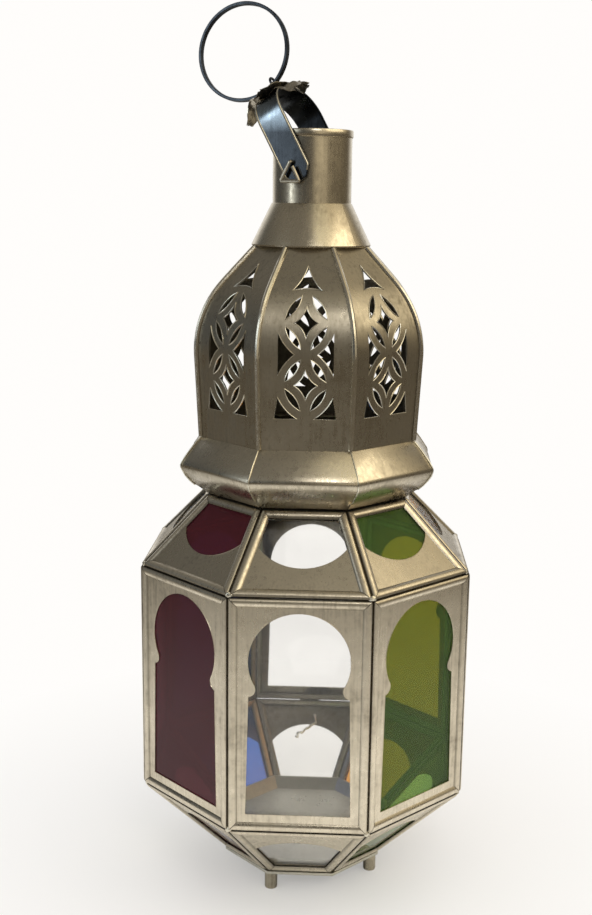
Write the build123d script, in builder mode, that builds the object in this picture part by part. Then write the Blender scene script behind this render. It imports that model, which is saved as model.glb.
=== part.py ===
"""Eight-sided pierced tin and coloured glass lantern with a swinging bail, a hanging ring and a rear door."""

import os
from math import atan2, cos, degrees, hypot, pi, radians, sin, tan

from build123d import *

# Sizes in millimetres. The origin is on the ground under the axis, +Z is up, the front faces -Y.
# The faces in order, from the front round to the right.
FACES = ("front", "front_right", "right", "rear_right", "rear", "rear_left", "left", "front_left")
DOOR_FACE = "rear"
GLASS_COLOURS = ("clear", "green", "clear", "amber", "clear", "blue", "clear", "red")

# Glazed body: distances from the axis to the flat faces, and heights of the tiers.
BODY_A = 90.0
BASE_A = 44.8
FOOT_H = 11.2
FLOOR_T = 0.8
LOWER_H = 48.0
BODY_H = 129.0
SHOULDER_H = 38.0

# Folded channel round every pane, with its slot for the mask and the glass.
FRAME_W = 5.6
BEAD_T = 1.2
BACK_T = 0.8
SLOT_DEEP = 3.0
SLOT_CLEAR = 0.2
EDGE_CLEAR = 0.3
FRAME_CHAMFER = 1.4
WINDOW_CHAMFER = 0.7
MASK_T = 0.6
GLASS_T = 2.0

# Cut edges of the masks. Curves are cut and folded by hand in a number of straight strokes.
ARCH_MARGIN = 5.2
ARCH_CROWN_GAP = 8.2
ARCH_NIB_STEP = 3.7
ARCH_NIB_H = 5.6
ARCH_NIB_BOW = 1.5
ARCH_NIB_CUTS = 4
ARCH_SIDE_STEP = 0.3
ARCH_FLARE = 1.4
ARCH_SILL = 10.0
ARCH_CUTS = 14
SLOPE_MASK_MID = 17.5
SLOPE_MASK_MARGIN = 2.88
SLOPE_MASK_CUTS = 10

# Floor tray and feet.
TRAY_SKIRT_H = 1.8
TRAY_SKIRT_T = 1.2
TRAY_CLEAR = 0.1
TRAY_RISE = 7.0
TRAY_RIM_H = 5.8
FOOT_R = 3.6
FOOT_CLEAR = 0.1
FOOT_COUNT = 4
FOOT_SIDES = 12

# Collar moulding between the body and the dome.
COLLAR_H = 31.3
COLLAR_NOSE = 10.0
COLLAR_NECK_H = 3.0
COLLAR_FLARE = 2.6
COLLAR_STEP = 0.7
COLLAR_FLANGE = 4.5
COLLAR_FOLDS = 6
SHEET_T = 0.8

# Pierced dome.
DOME_BASE_A = 57.6
DOME_BELLY_A = 60.0
DOME_WALL_H = 47.7
DOME_BEND_R = 55.0
DOME_BEND = 42.0
DOME_TOP_RUN = 18.2
DOME_FOLDS = 3
RIB_W = 2.2
RIB_T = 1.0

# Pierced pattern of one dome panel, round two stacked four-petalled flowers.
FLOWER_Z = 34.4
FLOWER_PITCH = 31.6
LEAF_TIP = (2.5, 13.3)
LEAF_FOOT = (10.8, 1.7)
LEAF_BOW = 1.8
STAR_HALF_W = 6.2
STAR_HALF_H = 8.2
STAR_BOW = -1.2
TAIL_NECK = 5.9
TAIL_HALF_W = 14.3
TAIL_HALF_H = 11.0
TAIL_BOW = -0.9
PEAK_HALF_W = 7.6
PEAK_FOOT = 15.7
PEAK_H = 12.1
PEAK_BOW = -1.0
CORNER_REACH = (14.2, -6.2)
CORNER_HALF_W = 16.0
CORNER_NECK = 4.1
CORNER_FOOT = -17.6
CORNER_BOW = -1.2
CHISEL_CUTS = 2

# Cone and neck tube, folded round a stake in straight strokes.
CONE_OVERHANG = 0.7
CONE_H = 22.8
CONE_SEAT = 5.0
NECK_R = 21.3
NECK_H = 38.2
NECK_RIM_H = 3.8
NECK_RIM_T = 0.6
NECK_FOLDS = 24

# Bail strap, its pivot wires, the rosette and the ring.
PIVOT_UP = 21.2
PIVOT_TURN = 65.0
BAIL_LEAN = 30.0
BAIL_W = 16.0
BAIL_T = 1.2
BAIL_H = 42.0
BAIL_CORNER_R = 14.0
BAIL_FOLDS = 5
BAIL_TAIL = 11.0
BAIL_TAIL_CUT = 5.0
BAIL_CLEAR = 0.4
HEM_W = 2.0
HEM_T = 0.5
WIRE_R = 0.9
WIRE_CLEAR = 0.08
WIRE_SIDES = 8
COTTER_REACH = 4.0
COTTER_DROP = 10.0
COTTER_HALF_W = 5.4
COTTER_END = (1.4, 2.6)
ROSE_T = 0.6
ROSE_SEAT_R = 7.5
PETAL_LENGTH = 20.0
PETAL_W = 15.0
PETAL_CURL = 35.0
PETAL_CURL_FLAT = 7.0
PETAL_DROOP = -38.0
PETAL_DROOP_FLAT = 9.5
PETAL_CUTS = 8
RING_R = 26.6
RING_T = 2.7
RING_W = 4.0
RING_FOLDS = 48
RING_LEAN = 18.0
EYE_CLEAR = 0.6
EYE_T = 1.7
EYE_W = 1.8
EYE_FOLDS = 20
STEM_R = 1.2
STEM_HEAD_R = 2.4
STEM_HEAD_T = 0.8

# Rear door, its hinges and its hasp.
DOOR_GAP = 0.4
KNUCKLE_R = 2.0
KNUCKLE_H = 6.0
KNUCKLE_GAP = 0.3
HINGE_SEAT = 0.1
HINGE_INSET = 24.0
HINGE_LEAF_T = 1.0
HINGE_LEAF_W = 4.6
PIN_R = 0.8
PIN_CLEAR = 0.05
PIN_END = 0.8
HASP_W = 13.0
HASP_T = 1.0
HASP_SLEEVE_R = 1.9
HASP_LIFT = 3.0
HASP_TAB = 5.0
HASP_CLEAR = 0.3
LUG_T = 1.2
STAPLE_HALF_W = 3.0
STAPLE_H = 6.0
STAPLE_WIRE_R = 0.8
STAPLE_SLOT_UP = 1.4
STAPLE_SLOT_DOWN = 4.0

# Values worked out from the sizes above.
SECTOR = 360 / len(FACES)
HALF_SECTOR = radians(SECTOR / 2)
HALF_TAN = tan(HALF_SECTOR)
FLOOR_Z = FOOT_H + FLOOR_T
TRAY_Z = FLOOR_Z + TRAY_RISE
BODY_Z = FLOOR_Z + LOWER_H
EAVE_Z = BODY_Z + BODY_H
COLLAR_Z = EAVE_Z + SHOULDER_H
DOME_Z = COLLAR_Z + COLLAR_H
BELLY_Z = DOME_Z + DOME_WALL_H
CONE_Z = BELLY_Z + DOME_BEND_R * sin(radians(DOME_BEND)) + DOME_TOP_RUN
DOME_BENT_A = DOME_BELLY_A - DOME_BEND_R * (1 - cos(radians(DOME_BEND)))
DOME_TOP_A = DOME_BENT_A - DOME_TOP_RUN * tan(radians(DOME_BEND))
CONE_R = DOME_TOP_A / cos(HALF_SECTOR) + CONE_OVERHANG
SHOULDER_A = DOME_BASE_A - COLLAR_FLARE - COLLAR_STEP
NECK_Z = CONE_Z + CONE_H
PIVOT_Z = NECK_Z + PIVOT_UP
SLOT_T = MASK_T + GLASS_T + SLOT_CLEAR
FRAME_T = BEAD_T + SLOT_T + BACK_T
PANE_INSET = FRAME_W - SLOT_DEEP + EDGE_CLEAR
WINDOW_HALF = BODY_A * HALF_TAN - FRAME_W
ARCH_R = WINDOW_HALF - ARCH_MARGIN
ARCH_NIB_HALF = ARCH_R - ARCH_NIB_STEP
ARCH_SIDE_HALF = ARCH_R - ARCH_SIDE_STEP
SLOPE_MASK_R = WINDOW_HALF - SLOPE_MASK_MARGIN
LOWER_LEAN = degrees(atan2(BODY_A - BASE_A, LOWER_H))
SHOULDER_LEAN = degrees(atan2(BODY_A - SHOULDER_A, SHOULDER_H))
DOOR = FACES.index(DOOR_FACE)
RAIL_LOW = FRAME_CHAMFER + DOOR_GAP
RAIL_HIGH = FRAME_W - WINDOW_CHAMFER
RAIL_MID = (RAIL_LOW + RAIL_HIGH) / 2
EYE_R = hypot(RING_T, RING_W) / 2 + EYE_CLEAR
EYE_Z = BAIL_H + BAIL_T + ROSE_T + EYE_R + EYE_T
RING_MID = RING_R - RING_T / 2
HINGE_Y = -(BODY_A + KNUCKLE_R + HINGE_SEAT)
HINGE_X = HINGE_Y * HALF_TAN
HINGE_LOWS = (BODY_Z + HINGE_INSET, EAVE_Z - HINGE_INSET - KNUCKLE_H)
HASP_Y = -(BODY_A + HINGE_LEAF_T + HASP_CLEAR + HASP_SLEEVE_R)
HASP_Z = BODY_Z + RAIL_MID
LUG_X = HASP_W / 2 + HASP_CLEAR


def level(radius, height, dip=0.0):
    """Plane through a front edge, facing up and dipping towards the axis by an angle."""
    tilt = radians(dip)
    return Plane((0, -radius, height), x_dir=(1, 0, 0), z_dir=(0, sin(tilt), cos(tilt)))


def sector_side(side):
    """Upright plane through the axis along the left (-1) or right (1) edge of the front face."""
    return Plane((0, 0, 0), x_dir=(0, 0, 1), z_dir=(side * cos(HALF_SECTOR), sin(HALF_SECTOR), 0))


class Tier:
    """A ring of flat faces between two edges, described by its front face."""

    def __init__(self, low_r, low_z, top_r, top_z, low_dip, top_dip):
        self.low_half = low_r * HALF_TAN
        self.top_half = top_r * HALF_TAN
        self.slope = hypot(top_r - low_r, top_z - low_z)
        self.plane = Plane((0, -low_r, low_z), x_dir=(1, 0, 0), z_dir=(0, low_z - top_z, low_r - top_r))
        self.low_cut = level(low_r, low_z, low_dip)
        self.top_cut = level(top_r, top_z, top_dip)


LOWER = Tier(BASE_A, FLOOR_Z, BODY_A, BODY_Z, 0, -LOWER_LEAN / 2)
BODY = Tier(BODY_A, BODY_Z, BODY_A, EAVE_Z, -LOWER_LEAN / 2, SHOULDER_LEAN / 2)
SHOULDER = Tier(BODY_A, EAVE_Z, SHOULDER_A, COLLAR_Z, SHOULDER_LEAN / 2, 0)


def face_outline(tier, depth, inset):
    """The outline of a tier's front face, drawn in by an inset, at a depth under its surface."""
    with BuildSketch(tier.plane.offset(-depth)) as outline:
        with BuildLine():
            Polyline(
                (-tier.low_half, 0),
                (tier.low_half, 0),
                (tier.top_half, tier.slope),
                (-tier.top_half, tier.slope),
                close=True,
            )
        make_face()
        offset(amount=-inset, kind=Kind.INTERSECTION, mode=Mode.REPLACE)
    return outline.sketch


def channel_frame(tier, gap=0.0):
    """Mitred channel round one face, with a window and a slot that holds the mask and the glass."""
    with BuildPart() as frame:
        with BuildSketch(tier.plane):
            with Locations((0, tier.slope / 2)):
                Rectangle(2 * BODY_A, tier.slope + 4 * FRAME_T)
        extrude(amount=-FRAME_T)
        for side in (-1, 1):
            split(bisect_by=sector_side(side).offset(-gap), keep=Keep.BOTTOM)
        split(bisect_by=tier.low_cut.offset(gap), keep=Keep.TOP)
        split(bisect_by=tier.top_cut.offset(-gap), keep=Keep.BOTTOM)
        extrude(face_outline(tier, 0, FRAME_W), amount=-FRAME_T, mode=Mode.SUBTRACT)
        extrude(face_outline(tier, BEAD_T, FRAME_W - SLOT_DEEP), amount=-SLOT_T, mode=Mode.SUBTRACT)
        outward = Axis(tier.plane.origin, tier.plane.z_dir)
        chamfer(frame.faces().sort_by(outward)[-1].outer_wire().edges(), FRAME_CHAMFER)
        chamfer(frame.faces().sort_by(outward)[-1].inner_wires()[0].edges(), WINDOW_CHAMFER)
    return frame.part


def pane(tier):
    """Glass plate that stands in a frame's slot behind the mask."""
    with BuildPart() as glass:
        extrude(face_outline(tier, BEAD_T + MASK_T, PANE_INSET), amount=-GLASS_T)
    return glass.part


def strokes(curve, count):
    """Points along a curve that is cut or folded in straight strokes."""
    return [curve @ (stroke / count) for stroke in range(count + 1)]


def arched_mask():
    """Sheet with a horseshoe arch opening, for a body face."""
    centre = BODY.slope - ARCH_CROWN_GAP - ARCH_R
    nib = centre - (ARCH_R**2 - ARCH_NIB_HALF**2) ** 0.5
    foot = nib - ARCH_NIB_H
    crown = ThreePointArc((ARCH_NIB_HALF, nib), (0, centre + ARCH_R), (-ARCH_NIB_HALF, nib))
    across = ARCH_SIDE_HALF - ARCH_NIB_HALF
    bow = ARCH_NIB_BOW / hypot(across, ARCH_NIB_H)
    round_x = ARCH_NIB_HALF + across / 2 - bow * ARCH_NIB_H
    round_z = nib - ARCH_NIB_H / 2 - bow * across
    lobe_arc = ThreePointArc((ARCH_NIB_HALF, nib), (round_x, round_z), (ARCH_SIDE_HALF, foot))
    lobe = strokes(lobe_arc, ARCH_NIB_CUTS)
    with BuildPart() as mask:
        extrude(face_outline(BODY, BEAD_T, PANE_INSET), amount=-MASK_T)
        with BuildSketch(BODY.plane):
            with BuildLine():
                Polyline(
                    *strokes(crown, ARCH_CUTS),
                    *[(-point.X, point.Y) for point in lobe[1:]],
                    (-ARCH_SIDE_HALF - ARCH_FLARE, ARCH_SILL),
                    (ARCH_SIDE_HALF + ARCH_FLARE, ARCH_SILL),
                    *[(point.X, point.Y) for point in lobe[:0:-1]],
                    close=True,
                )
            make_face()
        extrude(amount=-FRAME_T, mode=Mode.SUBTRACT)
    return mask.part


def sloping_mask(tier, wide_edge):
    """Sheet along the wide edge of a sloping face, its free edge a shallow arc that dips at the middle."""
    into = 1 if wide_edge == 0 else -1
    mid = wide_edge + into * SLOPE_MASK_MID
    with BuildPart() as mask:
        extrude(face_outline(tier, BEAD_T, PANE_INSET), amount=-MASK_T)
        with BuildSketch(tier.plane):
            with Locations((0, mid + into * SLOPE_MASK_R)):
                RegularPolygon(SLOPE_MASK_R, 2 * SLOPE_MASK_CUTS, rotation=90)
            with Locations((0, mid + into * (SLOPE_MASK_R + BODY_A))):
                Rectangle(2 * BODY_A, 2 * BODY_A)
        extrude(amount=-FRAME_T, mode=Mode.SUBTRACT)
    return mask.part


def bowed_outline(points, bows):
    """Closed outline through points in order, each side bowed outward and cut in straight strokes."""
    corners = []
    for start, end, bow in zip(points, points[1:] + points[:1], bows):
        along = (end[0] - start[0], end[1] - start[1])
        length = hypot(along[0], along[1])
        cuts = CHISEL_CUTS if bow else 1
        for cut in range(cuts):
            share = cut / cuts
            out = 4 * bow * share * (1 - share) / length
            x = start[0] + share * along[0] + out * along[1]
            z = start[1] + share * along[1] - out * along[0]
            corners.append((x, z))
    with BuildSketch(Plane.XZ) as outline:
        with BuildLine():
            Polyline(*corners, close=True)
        make_face()
    return outline.sketch


def piercings():
    """All openings of one dome panel, as seen from the front."""
    low = DOME_Z + FLOWER_Z
    high = low + FLOWER_PITCH
    cross = (low + high) / 2
    peak = high + PEAK_FOOT
    tail = [
        (TAIL_NECK, cross),
        (TAIL_HALF_W, cross - TAIL_HALF_H),
        (TAIL_HALF_W, cross),
        (TAIL_HALF_W, cross + TAIL_HALF_H),
    ]
    corner = [
        (CORNER_NECK, low + CORNER_FOOT),
        (CORNER_HALF_W, low + CORNER_FOOT),
        (CORNER_REACH[0], low + CORNER_REACH[1]),
    ]
    right = [bowed_outline(tail, [0, TAIL_BOW, TAIL_BOW, 0]), bowed_outline(corner, [0, 0, CORNER_BOW])]
    middle = [bowed_outline([(-PEAK_HALF_W, peak), (PEAK_HALF_W, peak), (0, peak + PEAK_H)], [PEAK_BOW] * 3)]
    for centre in (low, high):
        star = [
            (STAR_HALF_W, centre),
            (0, centre + STAR_HALF_H),
            (-STAR_HALF_W, centre),
            (0, centre - STAR_HALF_H),
        ]
        middle.append(bowed_outline(star, [STAR_BOW] * 4))
        for up in (-1, 1):
            leaf = [(LEAF_TIP[0], centre + up * LEAF_TIP[1]), (LEAF_FOOT[0], centre + up * LEAF_FOOT[1])]
            right.append(bowed_outline(leaf, [LEAF_BOW] * 2))
    left = [mirror(shape, about=Plane.YZ, mode=Mode.PRIVATE) for shape in right]
    return middle + right + left


def dome_band(thickness, side):
    """Section of a sheet laid along the dome's profile, on its left (outer) or right (inner) side."""
    with BuildSketch(Plane.YZ) as band:
        with BuildLine():
            bend = JernArc((-DOME_BELLY_A, BELLY_Z), (0, 1), DOME_BEND_R, -DOME_BEND, mode=Mode.PRIVATE)
            top = (bend @ 1) + (bend % 1) * 2 * DOME_TOP_RUN
            Polyline((-DOME_BASE_A, DOME_Z), *strokes(bend, DOME_FOLDS), top)
            offset(amount=thickness, side=side, kind=Kind.INTERSECTION)
        make_face()
    return band.sketch


def trim_dome():
    """Cut what is being built to the dome's height."""
    split(bisect_by=level(0, DOME_Z), keep=Keep.TOP)
    split(bisect_by=level(0, CONE_Z), keep=Keep.BOTTOM)


def pierced_panel():
    """One gore of the dome, bent from sheet and pierced."""
    with BuildPart() as panel:
        extrude(dome_band(SHEET_T, Side.RIGHT), amount=DOME_BELLY_A, both=True)
        trim_dome()
        for side in (-1, 1):
            split(bisect_by=sector_side(side), keep=Keep.BOTTOM)
        for shape in piercings():
            extrude(shape, amount=2 * DOME_BELLY_A, mode=Mode.SUBTRACT)
    return panel.part


def dome_rib():
    """Folded strip over the joint at the right of the front gore."""
    joint = sector_side(1)
    with BuildPart() as rib:
        extrude(dome_band(RIB_T, Side.LEFT), amount=DOME_BELLY_A, both=True)
        trim_dome()
        split(bisect_by=joint, keep=Keep.BOTTOM)
        split(bisect_by=joint.offset(-RIB_W), keep=Keep.TOP)
        mirror(about=joint)
    return rib.part


def collar_moulding():
    """One mitred length of the hollow half-round collar, with flanges for the shoulder and the dome."""
    foot = DOME_BASE_A - COLLAR_FLARE
    belly = ThreePointArc(
        (-DOME_BASE_A, COLLAR_Z + COLLAR_NECK_H),
        (-(DOME_BASE_A + COLLAR_NOSE), COLLAR_Z + (COLLAR_H + COLLAR_NECK_H) / 2),
        (-DOME_BASE_A, DOME_Z),
    )
    with BuildPart() as moulding:
        with BuildSketch(Plane.YZ):
            with BuildLine():
                Polyline(
                    (-(SHOULDER_A - COLLAR_FLANGE), COLLAR_Z),
                    (-foot, COLLAR_Z),
                    *strokes(belly, COLLAR_FOLDS),
                    (-(DOME_BASE_A - COLLAR_FLANGE), DOME_Z),
                )
                offset(amount=SHEET_T, side=Side.RIGHT, kind=Kind.INTERSECTION)
            make_face()
        extrude(amount=BODY_A, both=True)
        for side in (-1, 1):
            split(bisect_by=sector_side(side), keep=Keep.BOTTOM)
    return moulding.part


def neck_cone():
    """Conical cap on the dome, with a flat seat under its skirt."""
    with BuildPart() as cone:
        for radius, top_radius, low, mode in (
            (CONE_R, NECK_R, CONE_Z, Mode.ADD),
            (CONE_R - 2 * SHEET_T, NECK_R - SHEET_T, CONE_Z + SHEET_T, Mode.SUBTRACT),
        ):
            taper = atan2((radius - top_radius) * cos(pi / NECK_FOLDS), NECK_Z - low)
            with BuildSketch(Plane.XY.offset(low)):
                RegularPolygon(radius, NECK_FOLDS)
            extrude(amount=NECK_Z - low, taper=degrees(taper), mode=mode)
        with BuildSketch(Plane.XY.offset(CONE_Z)):
            RegularPolygon(CONE_R - CONE_SEAT, NECK_FOLDS)
        extrude(amount=SHEET_T, mode=Mode.SUBTRACT)
    return cone.part


def pivot_axes(lean):
    """Plane of the bail: X along its pivot, Z up its middle, leaning by an angle."""
    turn = radians(PIVOT_TURN)
    tilt = radians(lean)
    up = (-sin(turn) * sin(tilt), cos(turn) * sin(tilt), cos(tilt))
    return Plane((0, 0, PIVOT_Z), x_dir=(cos(turn), sin(turn), 0), z_dir=up)


def front_of(plane):
    """The upright plane through a plane's X and Z directions."""
    return Plane(plane.origin, x_dir=plane.x_dir, z_dir=-plane.y_dir)


def side_of(plane):
    """The upright plane through a plane's Y and Z directions."""
    return Plane(plane.origin, x_dir=plane.y_dir, z_dir=plane.x_dir)


def neck_tube():
    """Open chimney tube with a rolled rim and two holes for the pivot wires."""
    top = Plane.XY.offset(NECK_Z + NECK_H)
    with BuildPart() as tube:
        with BuildSketch(top):
            RegularPolygon(NECK_R, NECK_FOLDS)
        extrude(amount=-NECK_H)
        with BuildSketch(top):
            RegularPolygon(NECK_R + NECK_RIM_T, NECK_FOLDS)
        extrude(amount=-NECK_RIM_H)
        with BuildSketch(top):
            RegularPolygon(NECK_R - SHEET_T, NECK_FOLDS)
        extrude(amount=-NECK_H, mode=Mode.SUBTRACT)
        with BuildSketch(side_of(pivot_axes(0))):
            Circle(WIRE_R + WIRE_CLEAR)
        extrude(amount=2 * NECK_R, both=True, mode=Mode.SUBTRACT)
    return tube.part


def bail_strap():
    """Hemmed strap bent over the neck, with pivot holes near its clipped ends."""
    bail = pivot_axes(BAIL_LEAN)
    leg = NECK_R + NECK_RIM_T + BAIL_CLEAR
    shoulder = BAIL_H - BAIL_CORNER_R
    with BuildPart() as strap:
        with BuildSketch(front_of(bail)):
            with BuildLine():
                bends = (
                    JernArc((-leg, shoulder), (0, 1), BAIL_CORNER_R, -90, mode=Mode.PRIVATE),
                    JernArc((leg - BAIL_CORNER_R, BAIL_H), (1, 0), BAIL_CORNER_R, -90, mode=Mode.PRIVATE),
                )
                corners = [point for bend in bends for point in strokes(bend, BAIL_FOLDS)]
                Polyline((-leg, -BAIL_TAIL), *corners, (leg, -BAIL_TAIL))
                offset(amount=BAIL_T, side=Side.LEFT, kind=Kind.INTERSECTION)
            make_face()
        extrude(amount=BAIL_W / 2, both=True)
        with BuildSketch(bail.offset(-BAIL_TAIL)):
            with GridLocations(2 * (leg + BAIL_T) + HEM_T, BAIL_W - HEM_W, 2, 2):
                Rectangle(HEM_T, HEM_W)
        extrude(amount=BAIL_TAIL + BAIL_H - BAIL_CORNER_R)
        with BuildSketch(side_of(bail)):
            Circle(WIRE_R + WIRE_CLEAR)
            with GridLocations(BAIL_W, 1, 2, 1):
                with Locations((0, -BAIL_TAIL, 0)):
                    Rectangle(BAIL_TAIL_CUT * 2**0.5, BAIL_TAIL_CUT * 2**0.5, rotation=45)
        extrude(amount=2 * leg, both=True, mode=Mode.SUBTRACT)
        with BuildSketch(bail.offset(BAIL_H)):
            Circle(STEM_R + WIRE_CLEAR)
        extrude(amount=BAIL_T, mode=Mode.SUBTRACT)
    return strap.part


def bent_wire(plane, points, radius):
    """Round wire bent through points given in a plane's own directions."""
    with BuildPart() as wire:
        with BuildLine(plane):
            Polyline(*points)
        start = Plane(wire.pending_edges_as_wire @ 0, z_dir=wire.pending_edges_as_wire % 0)
        with BuildSketch(start):
            RegularPolygon(radius, WIRE_SIDES)
        sweep(transition=Transition.RIGHT)
    return wire.part


def pivot_cotter(side):
    """Wire that pins one end of the strap to the neck, its outer end bent into a triangle."""
    inside = NECK_R - SHEET_T - 2 * WIRE_R
    outside = NECK_R + NECK_RIM_T + BAIL_CLEAR + BAIL_T + HEM_T + BAIL_CLEAR + WIRE_R
    points = (
        (side * inside, 0, -COTTER_REACH),
        (side * inside, 0, 0),
        (side * outside, 0, 0),
        (side * outside, COTTER_HALF_W, -COTTER_DROP),
        (side * outside, -COTTER_HALF_W, -COTTER_DROP),
        (side * outside, -COTTER_END[0], -COTTER_END[1]),
    )
    return bent_wire(pivot_axes(0), points, WIRE_R)


def petal_pair(seat, flat, rise):
    """Two opposite pointed petals on one strip, bent up or down beyond its flat middle."""
    reach = PETAL_LENGTH - flat
    tip = (flat + reach * cos(radians(rise)), reach * sin(radians(rise)))
    with BuildPart() as pair:
        with BuildSketch(front_of(seat)):
            with BuildLine():
                Polyline((-tip[0], tip[1]), (-flat, 0), (flat, 0), tip)
                offset(amount=ROSE_T, side=Side.LEFT)
            make_face()
        extrude(amount=PETAL_W / 2, both=True)
        with BuildSketch(seat):
            with BuildLine():
                for half in (-PETAL_W / 2, PETAL_W / 2):
                    edge = ThreePointArc((-tip[0], 0), (0, half), (tip[0], 0), mode=Mode.PRIVATE)
                    Polyline(*strokes(edge, PETAL_CUTS))
            make_face()
        extrude(amount=PETAL_LENGTH, both=True, mode=Mode.INTERSECT)
    return pair.part


def rosette():
    """Tin flower on the strap: two petals curl up beside the ring and two droop over the strap's edges."""
    seat = pivot_axes(BAIL_LEAN).offset(BAIL_H + BAIL_T)
    with BuildPart() as flower:
        add(petal_pair(seat, PETAL_CURL_FLAT, PETAL_CURL))
        add(petal_pair(Plane(seat.origin, seat.y_dir, seat.z_dir), PETAL_DROOP_FLAT, PETAL_DROOP))
        with BuildSketch(seat):
            Circle(ROSE_SEAT_R)
        extrude(amount=ROSE_T)
        with BuildSketch(seat):
            Circle(STEM_R + WIRE_CLEAR)
        extrude(amount=ROSE_T, mode=Mode.SUBTRACT)
    return flower.part


def ring_eye():
    """Flat eye on a stem that is headed over under the strap."""
    bail = pivot_axes(BAIL_LEAN)
    with BuildPart() as eye:
        with BuildSketch(bail.offset(BAIL_H)):
            Circle(STEM_R)
        extrude(amount=EYE_Z - EYE_R - EYE_T / 2 - BAIL_H)
        with BuildSketch(bail.offset(BAIL_H)):
            Circle(STEM_HEAD_R)
        extrude(amount=-STEM_HEAD_T)
        with BuildSketch(front_of(bail)):
            with Locations((0, EYE_Z)):
                RegularPolygon(EYE_R + EYE_T, EYE_FOLDS)
                RegularPolygon(EYE_R, EYE_FOLDS, mode=Mode.SUBTRACT)
        extrude(amount=EYE_W / 2, both=True)
    return eye.part


def hanging_ring():
    """Strip hoop that stands in the eye and leans to one side in its own plane."""
    lean = radians(RING_LEAN)
    with BuildPart() as ring:
        with BuildSketch(side_of(pivot_axes(BAIL_LEAN))):
            with Locations((RING_MID * sin(lean), EYE_Z + RING_MID * cos(lean))):
                RegularPolygon(RING_R, RING_FOLDS)
                RegularPolygon(RING_R - RING_T, RING_FOLDS, mode=Mode.SUBTRACT)
        extrude(amount=RING_W / 2, both=True)
    return ring.part


def hinge_leaf(low):
    """Knuckle with a leaf on the door's left stile, its lower end at a height."""
    stile = -BODY.low_half
    with BuildPart() as leaf:
        with BuildSketch(Plane.XY.offset(low)):
            with Locations((HINGE_X, HINGE_Y)):
                Circle(KNUCKLE_R)
            with BuildLine():
                Polyline(
                    (HINGE_X, -BODY_A),
                    (HINGE_X, -BODY_A - HINGE_LEAF_T),
                    (stile + HINGE_LEAF_W, -BODY_A - HINGE_LEAF_T),
                    (stile + HINGE_LEAF_W, -BODY_A),
                    close=True,
                )
            make_face()
            with Locations((HINGE_X, HINGE_Y)):
                Circle(PIN_R + PIN_CLEAR, mode=Mode.SUBTRACT)
        extrude(amount=KNUCKLE_H)
    return leaf.part


def wire_pin(start, length):
    """Straight wire along a plane's Z direction, standing a little out of what it joins."""
    with BuildPart() as pin:
        with BuildSketch(start.offset(-PIN_END)):
            Circle(PIN_R)
        extrude(amount=length + 2 * PIN_END)
    return pin.part


def hinge_pin(low):
    """Pin through a door knuckle and the fixed knuckle under it."""
    start = Plane((HINGE_X, HINGE_Y, low - KNUCKLE_H - KNUCKLE_GAP))
    return wire_pin(start, 2 * KNUCKLE_H + KNUCKLE_GAP)


def hasp_bracket():
    """Plate with two lugs on the middle of the door's bottom rail."""
    rail = Plane((0, -BODY_A, BODY_Z), x_dir=(1, 0, 0), z_dir=(0, -1, 0))
    with BuildPart() as bracket:
        with BuildSketch(rail):
            with Locations((0, RAIL_MID)):
                Rectangle(2 * (LUG_X + LUG_T), RAIL_HIGH - RAIL_LOW)
        extrude(amount=HINGE_LEAF_T)
        with BuildSketch(rail):
            with Locations((0, RAIL_MID)):
                with GridLocations(2 * LUG_X + LUG_T, 1, 2, 1):
                    Rectangle(LUG_T, RAIL_HIGH - RAIL_LOW)
        extrude(amount=-HASP_Y - BODY_A + HASP_SLEEVE_R)
        with BuildSketch(Plane.YZ):
            with Locations((HASP_Y, HASP_Z)):
                Circle(PIN_R + PIN_CLEAR)
        extrude(amount=HASP_W, both=True, mode=Mode.SUBTRACT)
    return bracket.part


def hasp_pin():
    """Pin through the lugs and the hasp's sleeve."""
    end = LUG_X + LUG_T
    return wire_pin(Plane((-end, HASP_Y, HASP_Z), z_dir=(1, 0, 0)), 2 * end)


def below_edge(slope, lift):
    """Y and Z of a point on the sloping face under the door: down its slope, and off its surface."""
    lean = radians(LOWER_LEAN)
    y = -BODY_A + slope * sin(lean) - lift * cos(lean)
    return (y, BODY_Z - slope * cos(lean) - lift * sin(lean))


def latch_hasp():
    """Slotted strap with a rolled sleeve, bent to lie along the sloping face over the staple."""
    inner_y = HASP_Y + HASP_T / 2
    lift = HASP_LIFT - HASP_T / 2
    lean = radians(LOWER_LEAN)
    bend = (inner_y + BODY_A + lift * cos(lean)) / sin(lean)
    slot_low = RAIL_MID + STAPLE_WIRE_R + STAPLE_SLOT_DOWN
    slot_high = RAIL_MID - STAPLE_WIRE_R - STAPLE_SLOT_UP
    end = slot_low + 2 * HASP_T
    with BuildPart() as hasp:
        with BuildSketch(Plane.YZ):
            with BuildLine():
                Polyline(
                    (inner_y, HASP_Z),
                    below_edge(bend, lift),
                    below_edge(end, lift),
                    below_edge(end + HASP_TAB, lift + HASP_TAB / 2),
                )
                offset(amount=HASP_T, side=Side.RIGHT)
            make_face()
            with Locations((HASP_Y, HASP_Z)):
                Circle(HASP_SLEEVE_R)
                Circle(PIN_R + PIN_CLEAR, mode=Mode.SUBTRACT)
        extrude(amount=HASP_W / 2, both=True)
        with BuildSketch(LOWER.plane):
            with Locations((0, LOWER.slope - (slot_low + slot_high) / 2)):
                Rectangle(2 * (STAPLE_HALF_W + 2 * STAPLE_WIRE_R), slot_low - slot_high)
        extrude(amount=HASP_LIFT + HASP_T, mode=Mode.SUBTRACT)
    return hasp.part


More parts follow.
